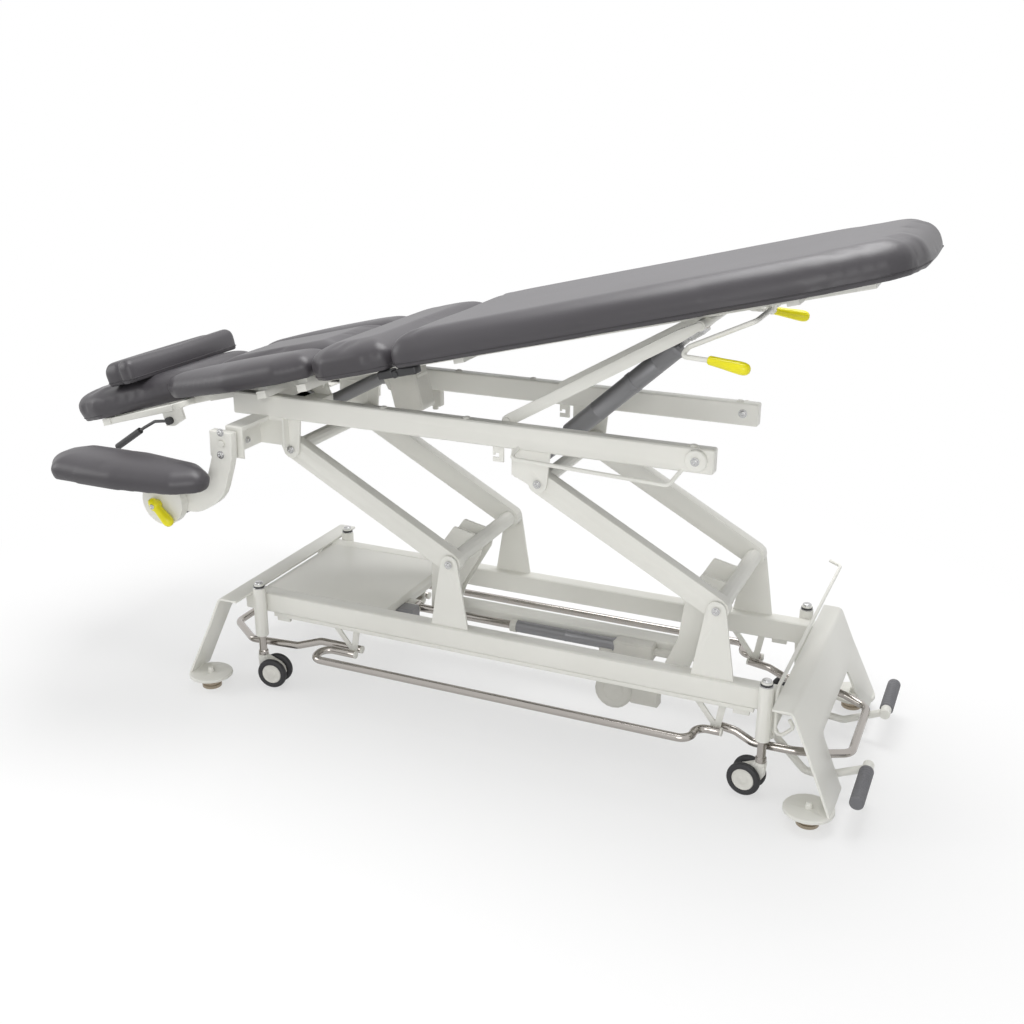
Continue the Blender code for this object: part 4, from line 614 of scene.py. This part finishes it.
# %% The armrest cushions
REST_THICK = 0.056
for side in ("near", "far"):
    low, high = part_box(f"armrest_pad_{side}")
    place = Matrix.Translation((low + high) / 2 + Vector((0, 0, -REST_THICK / 2)))
    cushion(f"armrest_cushion_{side}", f"armrest_pad_{side}",
            mirrored([(-0.212, 0.028), (-0.168, 0.082), (0.005, 0.087), (0.155, 0.064), (0.212, 0.022)]),
            0.0, REST_THICK, place, 0.006, edge=0.45, width=0.060, tuck=0.008, bend=0.03)

# %% [markdown]
# ## Casters
# Each caster has two wheels with a pale disc, a dark soft tyre with rounded shoulders and a cover
# between them. The wheels are turned shapes, so a lathe gives them clean highlights.

# %% Wheels, discs and covers
TREAD = soft([(0.0255, 0.0105), (0.030, 0.010), (0.0365, 0.0118), (0.0385, 0.0150), (0.0385, 0.0215),
              (0.0365, 0.0250), (0.0300, 0.0262), (0.0255, 0.0252), (0.0255, 0.0105)], 0.0012)
DISC = soft([(0.0, 0.0106), (0.0254, 0.0106), (0.0254, 0.0240), (0.0235, 0.0250), (0.0225, 0.0236),
             (0.0100, 0.0232), (0.0092, 0.0245), (0.0, 0.0250)], 0.0006)
for end in ("head", "foot"):
    for side in ("near", "far"):
        low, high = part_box(f"caster_wheels_{end}_{side}")
        centre = (low + high) / 2
        axis = Vector(joint(f"caster_roll_{end}_{side}")["axis"])
        body = f"caster_wheels_{end}_{side}"
        tread = bmesh.new()
        disc = bmesh.new()
        for sign in (1, -1):
            away = axis * sign
            lathe(TREAD, centre, away, 56, tread)
            lathe(DISC, centre, away, 48, disc)
        lathe([(0.0, -0.0108), (0.0045, -0.0108), (0.0045, 0.0108), (0.0, 0.0108)], centre, axis, 20, disc)
        solid(f"caster_tyres_{end}_{side}", tread, TYRE, body, 50, [body])
        solid(f"caster_discs_{end}_{side}", disc, WHEEL_WHITE, body, 35)
print("caster wheel", round(2 * max(radius for radius, _ in TREAD), 4), "m across")

# %% [markdown]
# ## Foot control
# The foot control is bent stainless tube. The routes repeat the frame's own routes with many more
# sides, and the white plugs close the two short ends on each side.


# %% Foot control bars
def at_base(points):
    """Points measured from the base's own middle."""
    return [Vector((x + MID, y, z)) for x, y, z in points]


BAR_R, BAR_Z, LUG_HEAD, LUG_FOOT = 0.0095, 0.128, -0.395, 0.536
PLUG = soft([(0.0, -0.002), (0.0099, -0.002), (0.0099, 0.0022), (0.006, 0.0034), (0.0, 0.0036)], 0.0006)


def bar_and_plugs(body, route, bend, steps):
    """A bent tube that stands for a foot bar's node, with a white plug in each end."""
    solid(f"{body}_tube", pipe(route, BAR_R, bend, steps, 28), STAINLESS, body, 50, [body])
    caps = bmesh.new()
    for spot, way in ((route[0], route[0] - route[1]), (route[-1], route[-1] - route[-2])):
        lathe(PLUG, spot, way, 28, caps)
    solid(f"{body}_plugs", caps, WHEEL_WHITE, body, 35)


for side, sign in (("near", -1), ("far", 1)):
    inner, outer = sign * 0.200, sign * 0.262
    run = at_base([(LUG_HEAD + 0.014, inner, BAR_Z), (-0.470, inner, BAR_Z), (-0.470, outer, BAR_Z),
                   (0.494, outer, BAR_Z), (0.494, inner, BAR_Z), (LUG_FOOT + 0.014, inner, BAR_Z)])
    bar_and_plugs(f"foot_bar_{side}", run, 0.028, 10)
HALVES = {"head": [(LUG_HEAD + 0.014, 0.168, BAR_Z), (-0.500, 0.168, BAR_Z), (-0.560, 0.186, 0.112),
                   (-0.700, 0.184, 0.104), (-0.800, 0.105, 0.100)],
          "foot": [(LUG_FOOT - 0.014, 0.168, BAR_Z), (0.575, 0.168, BAR_Z - 0.008), (0.615, 0.170, 0.101),
                   (0.705, 0.168, 0.101), (0.765, 0.146, 0.096), (0.822, 0.112, 0.092)]}
for end, half in HALVES.items():
    loop = at_base([(x, -y, z) for x, y, z in half] + [(x, y, z) for x, y, z in reversed(half)])
    bar_and_plugs(f"foot_bar_{end}", loop, 0.034, 8)
print("foot bars", round(2 * BAR_R, 4), "m thick")

# %% [markdown]
# ## Pedals
# The caster pedals are bent bars with a hub and a grey rubber grip. The grip has shallow rings that
# a shoe can hold on to, so its profile steps in and out.

# %% Pedal arms and grips
PEDAL_X, PEDAL_Z = 0.650, 0.130
arms, grips = bmesh.new(), bmesh.new()
pipe(at_base([(PEDAL_X, -0.1840, PEDAL_Z), (PEDAL_X, 0.1840, PEDAL_Z)]), 0.0082, 0.01, 4, 24, arms)
for sign in (-1, 1):
    y = sign * 0.136
    pipe(at_base([(PEDAL_X, y, PEDAL_Z), (0.664, y, 0.104), (0.728, y, 0.040), (0.768, y, 0.036),
                  (0.862, y, 0.078)]), 0.0087, 0.022, 8, 24, arms)
    hub = at_base([(0.862, sign * 0.138, 0.078)])[0]
    lathe(stub(0.0125, -0.0180, 0.0120, 0.0016), hub, (0, sign, 0), 32, arms)
    lathe(stub(0.0085, 0.0120, 0.0160, 0.0006), hub, (0, sign, 0), 24, arms)
    profile = [(0.0, 0.0105), (0.0130, 0.0105), (0.0155, 0.0130)]
    for k in range(14):
        start = 0.0145 + k * 0.0092
        profile += [(0.0157, start), (0.0157, start + 0.0062),
                    (0.0149, start + 0.0070), (0.0149, start + 0.0084)]
    profile += [(0.0155, 0.1440), (0.0155, 0.1480), (0.0125, 0.1520), (0.0, 0.1530)]
    lathe(profile, hub, (0, sign, 0), 36, grips)
solid("pedal_arms", arms, PEDAL_COAT, "caster_pedals", 40, ["caster_pedals"])
solid("pedal_grips", grips, GREY_GRIP, "caster_pedals", 35)
print("pedal shaft at", round(MID + PEDAL_X, 4), PEDAL_Z)

# %% [markdown]
# ## Gas spring, actuators and their rods
# The tubes of the gas spring and the two actuators are round, anodised or painted, with rings where
# the parts screw together. Turned shapes along the joint's own line stand over the faceted solids.


# %% Turned parts along a line between two points
def along(start, end):
    """Where a turned part starts, and the way it points."""
    start, end = Vector(start), Vector(end)
    return start, (end - start).normalized()


spring_foot = Vector(joint("gas_spring_pivot")["pos_m"])
spring_way = Vector(joint("gas_spring_stroke")["axis"])
tube = lathe(soft([(0.0, 0.012), (0.0112, 0.012), (0.0112, 0.068), (0.0225, 0.070), (0.0237, 0.073),
                   (0.0237, 0.1600), (0.0241, 0.1604), (0.0241, 0.1640), (0.0237, 0.1644), (0.0237, 0.2670),
                   (0.0250, 0.2674), (0.0250, 0.2790), (0.0237, 0.2794), (0.0237, 0.3450), (0.0232, 0.3454),
                   (0.0232, 0.3486), (0.0237, 0.3490), (0.0237, 0.3980), (0.0245, 0.3984), (0.0245, 0.4080),
                   (0.0220, 0.4110), (0.0085, 0.4115), (0.0, 0.4115)], 0.0006), spring_foot, spring_way, 48)
lathe(soft([(0.0117, -0.0200), (0.0190, -0.0200), (0.0190, 0.0200), (0.0117, 0.0200)], 0.0008),
      spring_foot, (0, 1, 0), 32, tube)
solid("gas_spring_tube", tube, ANODISED, "gas_spring", 35, ["gas_spring"])
rod_parts = lathe(soft([(0.0, 0.332), (0.0081, 0.332), (0.0081, 0.4400), (0.0105, 0.4410), (0.0105, 0.4470),
                        (0.0120, 0.4474), (0.0120, 0.4540), (0.0151, 0.4700), (0.0155, 0.4712),
                        (0.0155, 0.4885), (0.0125, 0.4900), (0.0, 0.4900)], 0.0005),
                  spring_foot, spring_way, 36)
solid("spring_rod_turned", rod_parts, ZINC, "spring_rod", 35)
print("gas spring foot at", [round(c, 4) for c in spring_foot])

# %% The lift actuator and its round motor
low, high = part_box("lift_rod")
y, z = (low.y + high.y) / 2, low.z * 0.5 + high.z * 0.5
tube = lathe(soft([(0.0104, -0.0235), (0.0158, -0.0235), (0.0158, -0.0085), (0.0147, -0.0082),
                   (0.0147, 0.1200), (0.0152, 0.1204), (0.0152, 0.1236), (0.0147, 0.1240), (0.0147, 0.2420),
                   (0.0175, 0.2440), (0.0175, 0.2520), (0.0, 0.2520)], 0.0006), (MID, y, z), (1, 0, 0), 40)
solid("lift_actuator_tube", tube, ANODISED, "lift_actuator", 35)
motor = lathe(soft([(0.0, -0.0172), (0.0240, -0.0172), (0.0250, -0.0190), (0.0405, -0.0190),
                    (0.0465, -0.0140), (0.0465, 0.0140), (0.0405, 0.0190), (0.0, 0.0190)], 0.0012),
              (MID + 0.250, y, 0.098), (0, 1, 0), 48)
solid("lift_motor_cap", motor, HOUSING, "lift_actuator", 35)
solid("lift_rod_tube", lathe(stub(0.0101, 0.012, 0.444, 0.0006), (low.x, y, z), (1, 0, 0), 32),
      STAINLESS, "lift_rod", 35)
print("lift rod's line at", round(y, 4), round(z, 4))

# %% The tilt actuator
motor_foot = Vector(joint("tilt_rod_pivot")["pos_m"])
motor_way = Vector(joint("tilt_motor_stroke")["axis"])
tube = lathe(soft([(0.0095, 0.0745), (0.0168, 0.0745), (0.0168, 0.0860), (0.0162, 0.0864), (0.0162, 0.2300),
                   (0.0185, 0.2320), (0.0185, 0.2560), (0.0, 0.2560)], 0.0008), motor_foot, motor_way, 40)
solid("tilt_motor_tube", tube, ANODISED, "tilt_motor", 35)
solid("tilt_rod_turned", lathe(stub(0.0091, 0.014, 0.214, 0.0006), motor_foot, motor_way, 32),
      STAINLESS, "tilt_rod", 35)
print("tilt actuator's foot at", [round(c, 4) for c in motor_foot])

# %% [markdown]
# ## Release bar
# The bar under the leg cushion is white rod with a soft yellow grip at each end. The grip swells to
# its end like a club, so it is turned with a full, rounded profile.

# %% Release bar and grips
half = [(0.770, 0.290, -0.1115), (0.712, 0.284, -0.0880), (0.645, 0.276, -0.0700), (0.660, 0.262, -0.0560),
        (0.800, 0.262, -0.0275)]
run = [TOP @ Vector((x, -y, z)) for x, y, z in half] + [TOP @ Vector((x, y, z)) for x, y, z in reversed(half)]
solid("release_bar_rod", pipe(run, 0.0052, 0.010, 8, 20), COAT, "release_bar", 50, ["release_bar"])
grips = bmesh.new()
for sign in (-1, 1):
    first, way = along(TOP @ Vector((0.700, sign * 0.2830, -0.0840)),
                       TOP @ Vector((0.778, sign * 0.2908, -0.1146)))
    lathe([(0.0, -0.001), (0.0075, 0.0), (0.0092, 0.003), (0.0096, 0.012), (0.0105, 0.030), (0.0122, 0.052),
           (0.0130, 0.066), (0.0126, 0.074), (0.0104, 0.081), (0.0060, 0.0850), (0.0, 0.0862)],
          first, way, 36, grips)
solid("release_grips", grips, YELLOW, "release_bar", 60)
print("release grips at", [round(c, 3) for c in first])

# %% [markdown]
# ## Armrest clamps
# A pale disc with a dark one behind it clamps each armrest. A yellow lever with a screw locks it, so
# the lever swells from its hub to a rounded end.

# %% Clamp discs, screws and levers
for side, sign in (("near", -1), ("far", 1)):
    axis_spot = Vector(joint(f"armrest_level_{side}")["pos_m"])
    cx, cz = axis_spot.x, axis_spot.z
    body = f"armrest_rest_{side}"
    disc = lathe(soft([(0.0, 0.0), (0.0560, 0.0), (0.0578, 0.0012), (0.0578, 0.0045), (0.0560, 0.0058),
                       (0.0, 0.0058)], 0.0008), (cx, sign * 0.3755, cz), (0, sign, 0), 64)
    solid(f"clamp_face_{side}", disc, COAT, body, 35)
    back = lathe(stub(0.0440, 0.0, 0.0175, 0.0015), (cx + 0.004, sign * 0.3150, cz - 0.004), (0, sign, 0), 48)
    solid(f"clamp_back_{side}", back, DARK_HUB, body, 35)
    pin = Vector(joint(f"armrest_lever_turn_{side}")["pos_m"])
    grip = bmesh.new()
    face = sign * 0.3816
    start = Vector((pin.x - 0.004, face + sign * 0.013, pin.z + 0.004))
    end = Vector((pin.x + 0.044, face + sign * 0.015, pin.z - 0.042))
    first, way = along(start, end)
    lathe([(0.0, -0.014), (0.0075, -0.0125), (0.0110, -0.006), (0.0115, 0.004), (0.0108, 0.020),
           (0.0122, 0.038), (0.0135, 0.050), (0.0128, 0.058), (0.0095, 0.0645), (0.0050, 0.0675),
           (0.0, 0.0682)], first, way, 32, grip)
    lathe(soft([(0.0, 0.0), (0.0120, 0.0), (0.0120, 0.0200), (0.0095, 0.0235), (0.0, 0.0240)], 0.0014),
          (pin.x, face, pin.z), (0, sign, 0), 32, grip)
    body = f"armrest_lever_{side}"
    solid(f"clamp_lever_{side}", grip, YELLOW, body, 60, [body])
    head = lathe(soft([(0.0, 0.0225), (0.0062, 0.0225), (0.0062, 0.0262), (0.0030, 0.0264),
                       (0.0030, 0.0246), (0.0, 0.0246)], 0.0004), (pin.x, face, pin.z), (0, sign, 0), 24)
    solid(f"clamp_screw_{side}", head, ZINC, body, 35)
    print("clamp", side, "turns about", round(cx, 4), round(cz, 4))

# %% [markdown]
# ## Screws and caps
# Every pivot of the real table ends in a low socket screw. One helper makes a washer and a head with
# a recess, turned round for simplicity, and a list says where they sit and which body carries them.


# %% Screws at the pivots
def screw(name, place, way, body, head=0.0065, washer=0.0095):
    form = lathe(soft([(0.0, -0.0005), (washer, -0.0005), (washer, 0.0012), (head, 0.0014), (head, 0.0050),
                       (head * 0.86, 0.0060), (head * 0.48, 0.0060), (head * 0.48, 0.0032),
                       (0.0, 0.0032)], 0.0003), place, way, 24)
    return solid(name, form, ZINC, body, 35)


PIN_END = 0.1952               # how far from the table's middle the arms' pins end
SPOTS = []
for side, sign in (("near", -1), ("far", 1)):
    way = (0, sign, 0)
    for name, joint_name in (("head_tower", "head_arms_lift"), ("foot_tower", "foot_arms_lift")):
        spot = Vector(joint(joint_name)["pos_m"])
        SPOTS.append((f"{name}_screw_{side}", (spot.x, sign * PIN_END, spot.z), way, "base"))
    for name, dx in (("head", -0.5402), ("foot", 0.1007)):
        SPOTS.append((f"{name}_upper_screw_{side}", (MID + dx, sign * PIN_END, 0.6413), way, "upper_frame"))
    for k, (dx, z) in enumerate(((-0.620, 0.717), (-0.624, 0.663))):
        SPOTS.append((f"armrest_plate_screw_{side}_{k}", (MID + dx, sign * 0.3562, z), way,
                      f"armrest_arm_{side}"))
    SPOTS.append((f"roller_screw_{side}", (MID + 0.463, sign * 0.2258, 0.7496), way, "upper_frame"))
for name, place, way, body in SPOTS:
    screw(name, place, way, body)
print("screws", len(SPOTS))

# %% Caps on the caster posts, and nuts on the feet
POST_X, POST_Y, FOOT_X, FOOT_Y = 0.645, 0.2165, 0.766, 0.281      # from the base's own middle
POST_CAP = soft([(0.0, 0.2700), (0.0150, 0.2700), (0.0150, 0.2725), (0.0128, 0.2728), (0.0128, 0.2772),
                 (0.0105, 0.2776), (0.0105, 0.2845), (0.0080, 0.2862), (0.0, 0.2866)], 0.0005)
POST_RING = soft([(0.0128, 0.2729), (0.0136, 0.2729), (0.0136, 0.2771), (0.0128, 0.2771)], 0.0003)
KNOB = [(0.0, 0.0), (0.0235, 0.0), (0.0248, 0.0012), (0.0248, 0.0085), (0.0225, 0.0098), (0.0225, 0.0108),
        (0.0248, 0.0120), (0.0248, 0.0190), (0.0232, 0.0206), (0.0197, 0.0212), (0.0197, 0.0322),
        (0.0, 0.0322)]
STUD = soft([(0.0, 0.0395), (0.0085, 0.0395), (0.0085, 0.0455), (0.0068, 0.0460), (0.0068, 0.0525),
             (0.0055, 0.0535), (0.0, 0.0535)], 0.0005)
for end, way in (("head", -1), ("foot", 1)):
    for side, sign in (("near", -1), ("far", 1)):
        post = (MID + way * POST_X, sign * POST_Y, 0)
        solid(f"post_cap_{end}_{side}", lathe(POST_CAP, post, steps=32), ZINC, "base", 35)
        solid(f"post_ring_{end}_{side}", lathe(POST_RING, post, steps=32), BLACK, "base", 35)
        foot = (MID + way * FOOT_X, sign * FOOT_Y, 0)
        body = f"levelling_foot_{end}_{side}"
        solid(f"foot_knob_{end}_{side}", lathe(KNOB, foot, steps=40), NICKEL, body, 35, [body])
        solid(f"foot_stud_{end}_{side}", lathe(STUD, foot, steps=24), COAT, "base", 35)
print("posts and feet done")

# %% [markdown]
# ## Small fittings
# What remains is small but tells a real table from a model: plugs in the rails' tops, bolts in the
# armrest channels and at the rollers, black covers over the joint of the leg cushion, a socket box
# under the far rail, and the bent rod that lies across the foot end. The rod's depth is a guess from
# one view. Each is a turned, bent or bevelled shape.

# %% Plugs, bolts and black covers
plugs = bmesh.new()
for dx, y in ((-0.279, -0.1975), (-0.068, -0.1975), (0.452, -0.1975),
              (-0.280, 0.1975), (-0.074, 0.1975), (0.452, 0.1975)):
    lathe([(0.0, -0.001), (0.0085, -0.001), (0.0085, 0.0016), (0.0068, 0.0034), (0.0035, 0.0044),
           (0.0, 0.0047)], (MID + dx, y, 0.775), (0, 0, 1), 20, plugs)
solid("rail_plugs", plugs, COAT, "upper_frame", 40)
for side, sign in (("near", -1), ("far", 1)):
    for k, (y, z) in enumerate(((0.245, 0.669), (0.285, 0.669), (0.245, 0.703), (0.285, 0.703))):
        screw(f"channel_bolt_{side}_{k}", (ARM_X - 0.0071, sign * y, z), (1, 0, 0), "upper_frame",
              0.0058, 0.0085)
screw("far_roller_bolt", (MID + 0.463, 0.1823, 0.7496), (0, -1, 0), "upper_frame", 0.0075, 0.0105)

covers = bmesh.new()
for sign in (-1, 1):
    for first, last in ((-0.046, -0.008), (0.004, 0.052)):
        box_form((first, sign * 0.262 - 0.014, -0.020), (last, sign * 0.262 + 0.014, -0.0012), 0.004, covers)
    lathe(stub(0.008, -0.016, 0.016, 0.0015), (-0.002, sign * 0.262, -0.013), (0, 1, 0), 24, covers)
covers.transform(TOP)
solid("joint_covers", covers, BLACK, "top", 40)
box = box_form((MID - 0.388, 0.1875, 0.676), (MID - 0.330, 0.2115, 0.7208), 0.003)
lathe(stub(0.0075, 0.0, 0.010, 0.001), (MID - 0.350, 0.1995, 0.676), (0, 0, -1), 24, box)
solid("rail_socket_box", box, HOUSING, "upper_frame", 40)

# %% The bent rod across the foot end
ROD_R = 0.0042
rod = pipe(at_base([(0.697, -0.2065, 0.196), (0.708, -0.2065, 0.178), (0.668, -0.2065, 0.140),
                    (0.666, -0.2065, 0.2628), (0.690, 0.400, 0.322), (0.660, 0.412, 0.328)]),
           ROD_R, [0.010, 0.012, 0.014, 0.010], 6, 16)
solid("bent_rod", rod, COAT, "base", 50)
print("fittings done")

# %% [markdown]
# ## Floor, light and camera
# The photograph is a cut-out on white with a soft shadow under the table. The floor takes that
# shadow near the table and turns into plain white further away, so no horizon shows. Large soft
# lamps above and in front light the cushions from the top and leave their sides darker.

# %% Floor
FLOOR_WHITE, SHADOW_SHARE = 0.86, 0.45
bpy.ops.mesh.primitive_plane_add(size=40, location=(0, 0, -0.0005))
floor = bpy.context.object
floor.name = "studio_floor"
ground = finish("studio_floor_white", (FLOOR_WHITE, FLOOR_WHITE, FLOOR_WHITE), 0.9, Specular_IOR_Level=0.0)
tree = ground.node_tree


def seen_directly(tree):
    """1 for camera, glossy and transmission rays, 0 for the rays that light the object."""
    path = tree.nodes.new("ShaderNodeLightPath")
    both = tree.nodes.new("ShaderNodeMath")
    both.operation = "MAXIMUM"
    every = tree.nodes.new("ShaderNodeMath")
    every.operation = "MAXIMUM"
    tree.links.new(path.outputs["Is Camera Ray"], both.inputs[0])
    tree.links.new(path.outputs["Is Glossy Ray"], both.inputs[1])
    tree.links.new(both.outputs[0], every.inputs[0])
    tree.links.new(path.outputs["Is Transmission Ray"], every.inputs[1])
    return every.outputs[0]


place = tree.nodes.new("ShaderNodeNewGeometry")
reach = tree.nodes.new("ShaderNodeVectorMath")
reach.operation = "LENGTH"
fade = tree.nodes.new("ShaderNodeMapRange")
fade.inputs["From Min"].default_value, fade.inputs["From Max"].default_value = 1.1, 1.9
fade.inputs["To Min"].default_value = 1.0 - SHADOW_SHARE
seen = tree.nodes.new("ShaderNodeMath")
seen.operation = "MULTIPLY"
glow = tree.nodes.new("ShaderNodeEmission")
glow.inputs["Strength"].default_value = 1.0
blend = tree.nodes.new("ShaderNodeMixShader")
tree.links.new(place.outputs["Position"], reach.inputs[0])
tree.links.new(reach.outputs["Value"], fade.inputs["Value"])
tree.links.new(fade.outputs["Result"], seen.inputs[0])
tree.links.new(seen_directly(tree), seen.inputs[1])
tree.links.new(seen.outputs[0], blend.inputs["Fac"])
tree.links.new(tree.nodes["Principled BSDF"].outputs[0], blend.inputs[1])
tree.links.new(glow.outputs[0], blend.inputs[2])
tree.links.new(blend.outputs[0], tree.nodes["Material Output"].inputs["Surface"])
floor.data.materials.append(ground)

# %% World and lamps
world = bpy.data.worlds.new("studio")
bpy.context.scene.world = world
world.use_nodes = True
tree = world.node_tree
back = tree.nodes["Background"]
back.inputs["Color"].default_value = (1, 1, 1, 1)
back.inputs["Strength"].default_value = 0.46
white = tree.nodes.new("ShaderNodeBackground")
white.inputs["Color"].default_value = (1, 1, 1, 1)
white.inputs["Strength"].default_value = 1.0
pick = tree.nodes.new("ShaderNodeMixShader")
tree.links.new(seen_directly(tree), pick.inputs["Fac"])
tree.links.new(back.outputs[0], pick.inputs[1])
tree.links.new(white.outputs[0], pick.inputs[2])
tree.links.new(pick.outputs[0], tree.nodes["World Output"].inputs["Surface"])


def lamp(name, place, aim, size, power):
    light = bpy.data.lights.new(name, "AREA")
    light.shape, light.size, light.energy = "DISK", size, power
    made = bpy.data.objects.new(name, light)
    bpy.context.scene.collection.objects.link(made)
    made.location = place
    made.rotation_euler = (Vector(aim) - Vector(place)).to_track_quat("-Z", "Y").to_euler()
    return made


lamp("overhead", (0.2, 0.6, 3.4), (0, 0, 0.6), 2.6, 108)
lamp("front", (1.2, -3.4, 1.6), (0, 0, 0.4), 2.2, 38)
lamp("left", (-3.2, -1.4, 1.8), (0, 0, 0.5), 1.8, 26)

# %% [markdown]
# The camera repeats the photograph: its place and angle were worked out from the long rails, the
# level lines and the upright posts, and its lens from how fast the rails draw together.

# %% Camera
camera = bpy.data.objects.new("camera", bpy.data.cameras.new("camera"))
bpy.context.scene.collection.objects.link(camera)
camera.data.lens, camera.data.sensor_width = 43.62, 36.0
yaw, pitch, roll = math.radians(-23.5857), math.radians(19.9215), math.radians(0.218)
ahead = Vector((math.sin(yaw) * math.cos(pitch), math.cos(yaw) * math.cos(pitch), -math.sin(pitch)))
right = Vector((math.cos(yaw), -math.sin(yaw), 0))
above = right.cross(ahead)
right, above = (right * math.cos(roll) + above * math.sin(roll),
                above * math.cos(roll) - right * math.sin(roll))
camera.matrix_world = Matrix.Translation((MID + 1.0907, -2.5991, 1.5188)) @ Matrix(
    ((right.x, above.x, -ahead.x), (right.y, above.y, -ahead.y), (right.z, above.z, -ahead.z))).to_4x4()
bpy.context.scene.camera = camera
bpy.context.scene.view_settings.view_transform = "Standard"
print("camera at", [round(c, 3) for c in camera.matrix_world.translation])
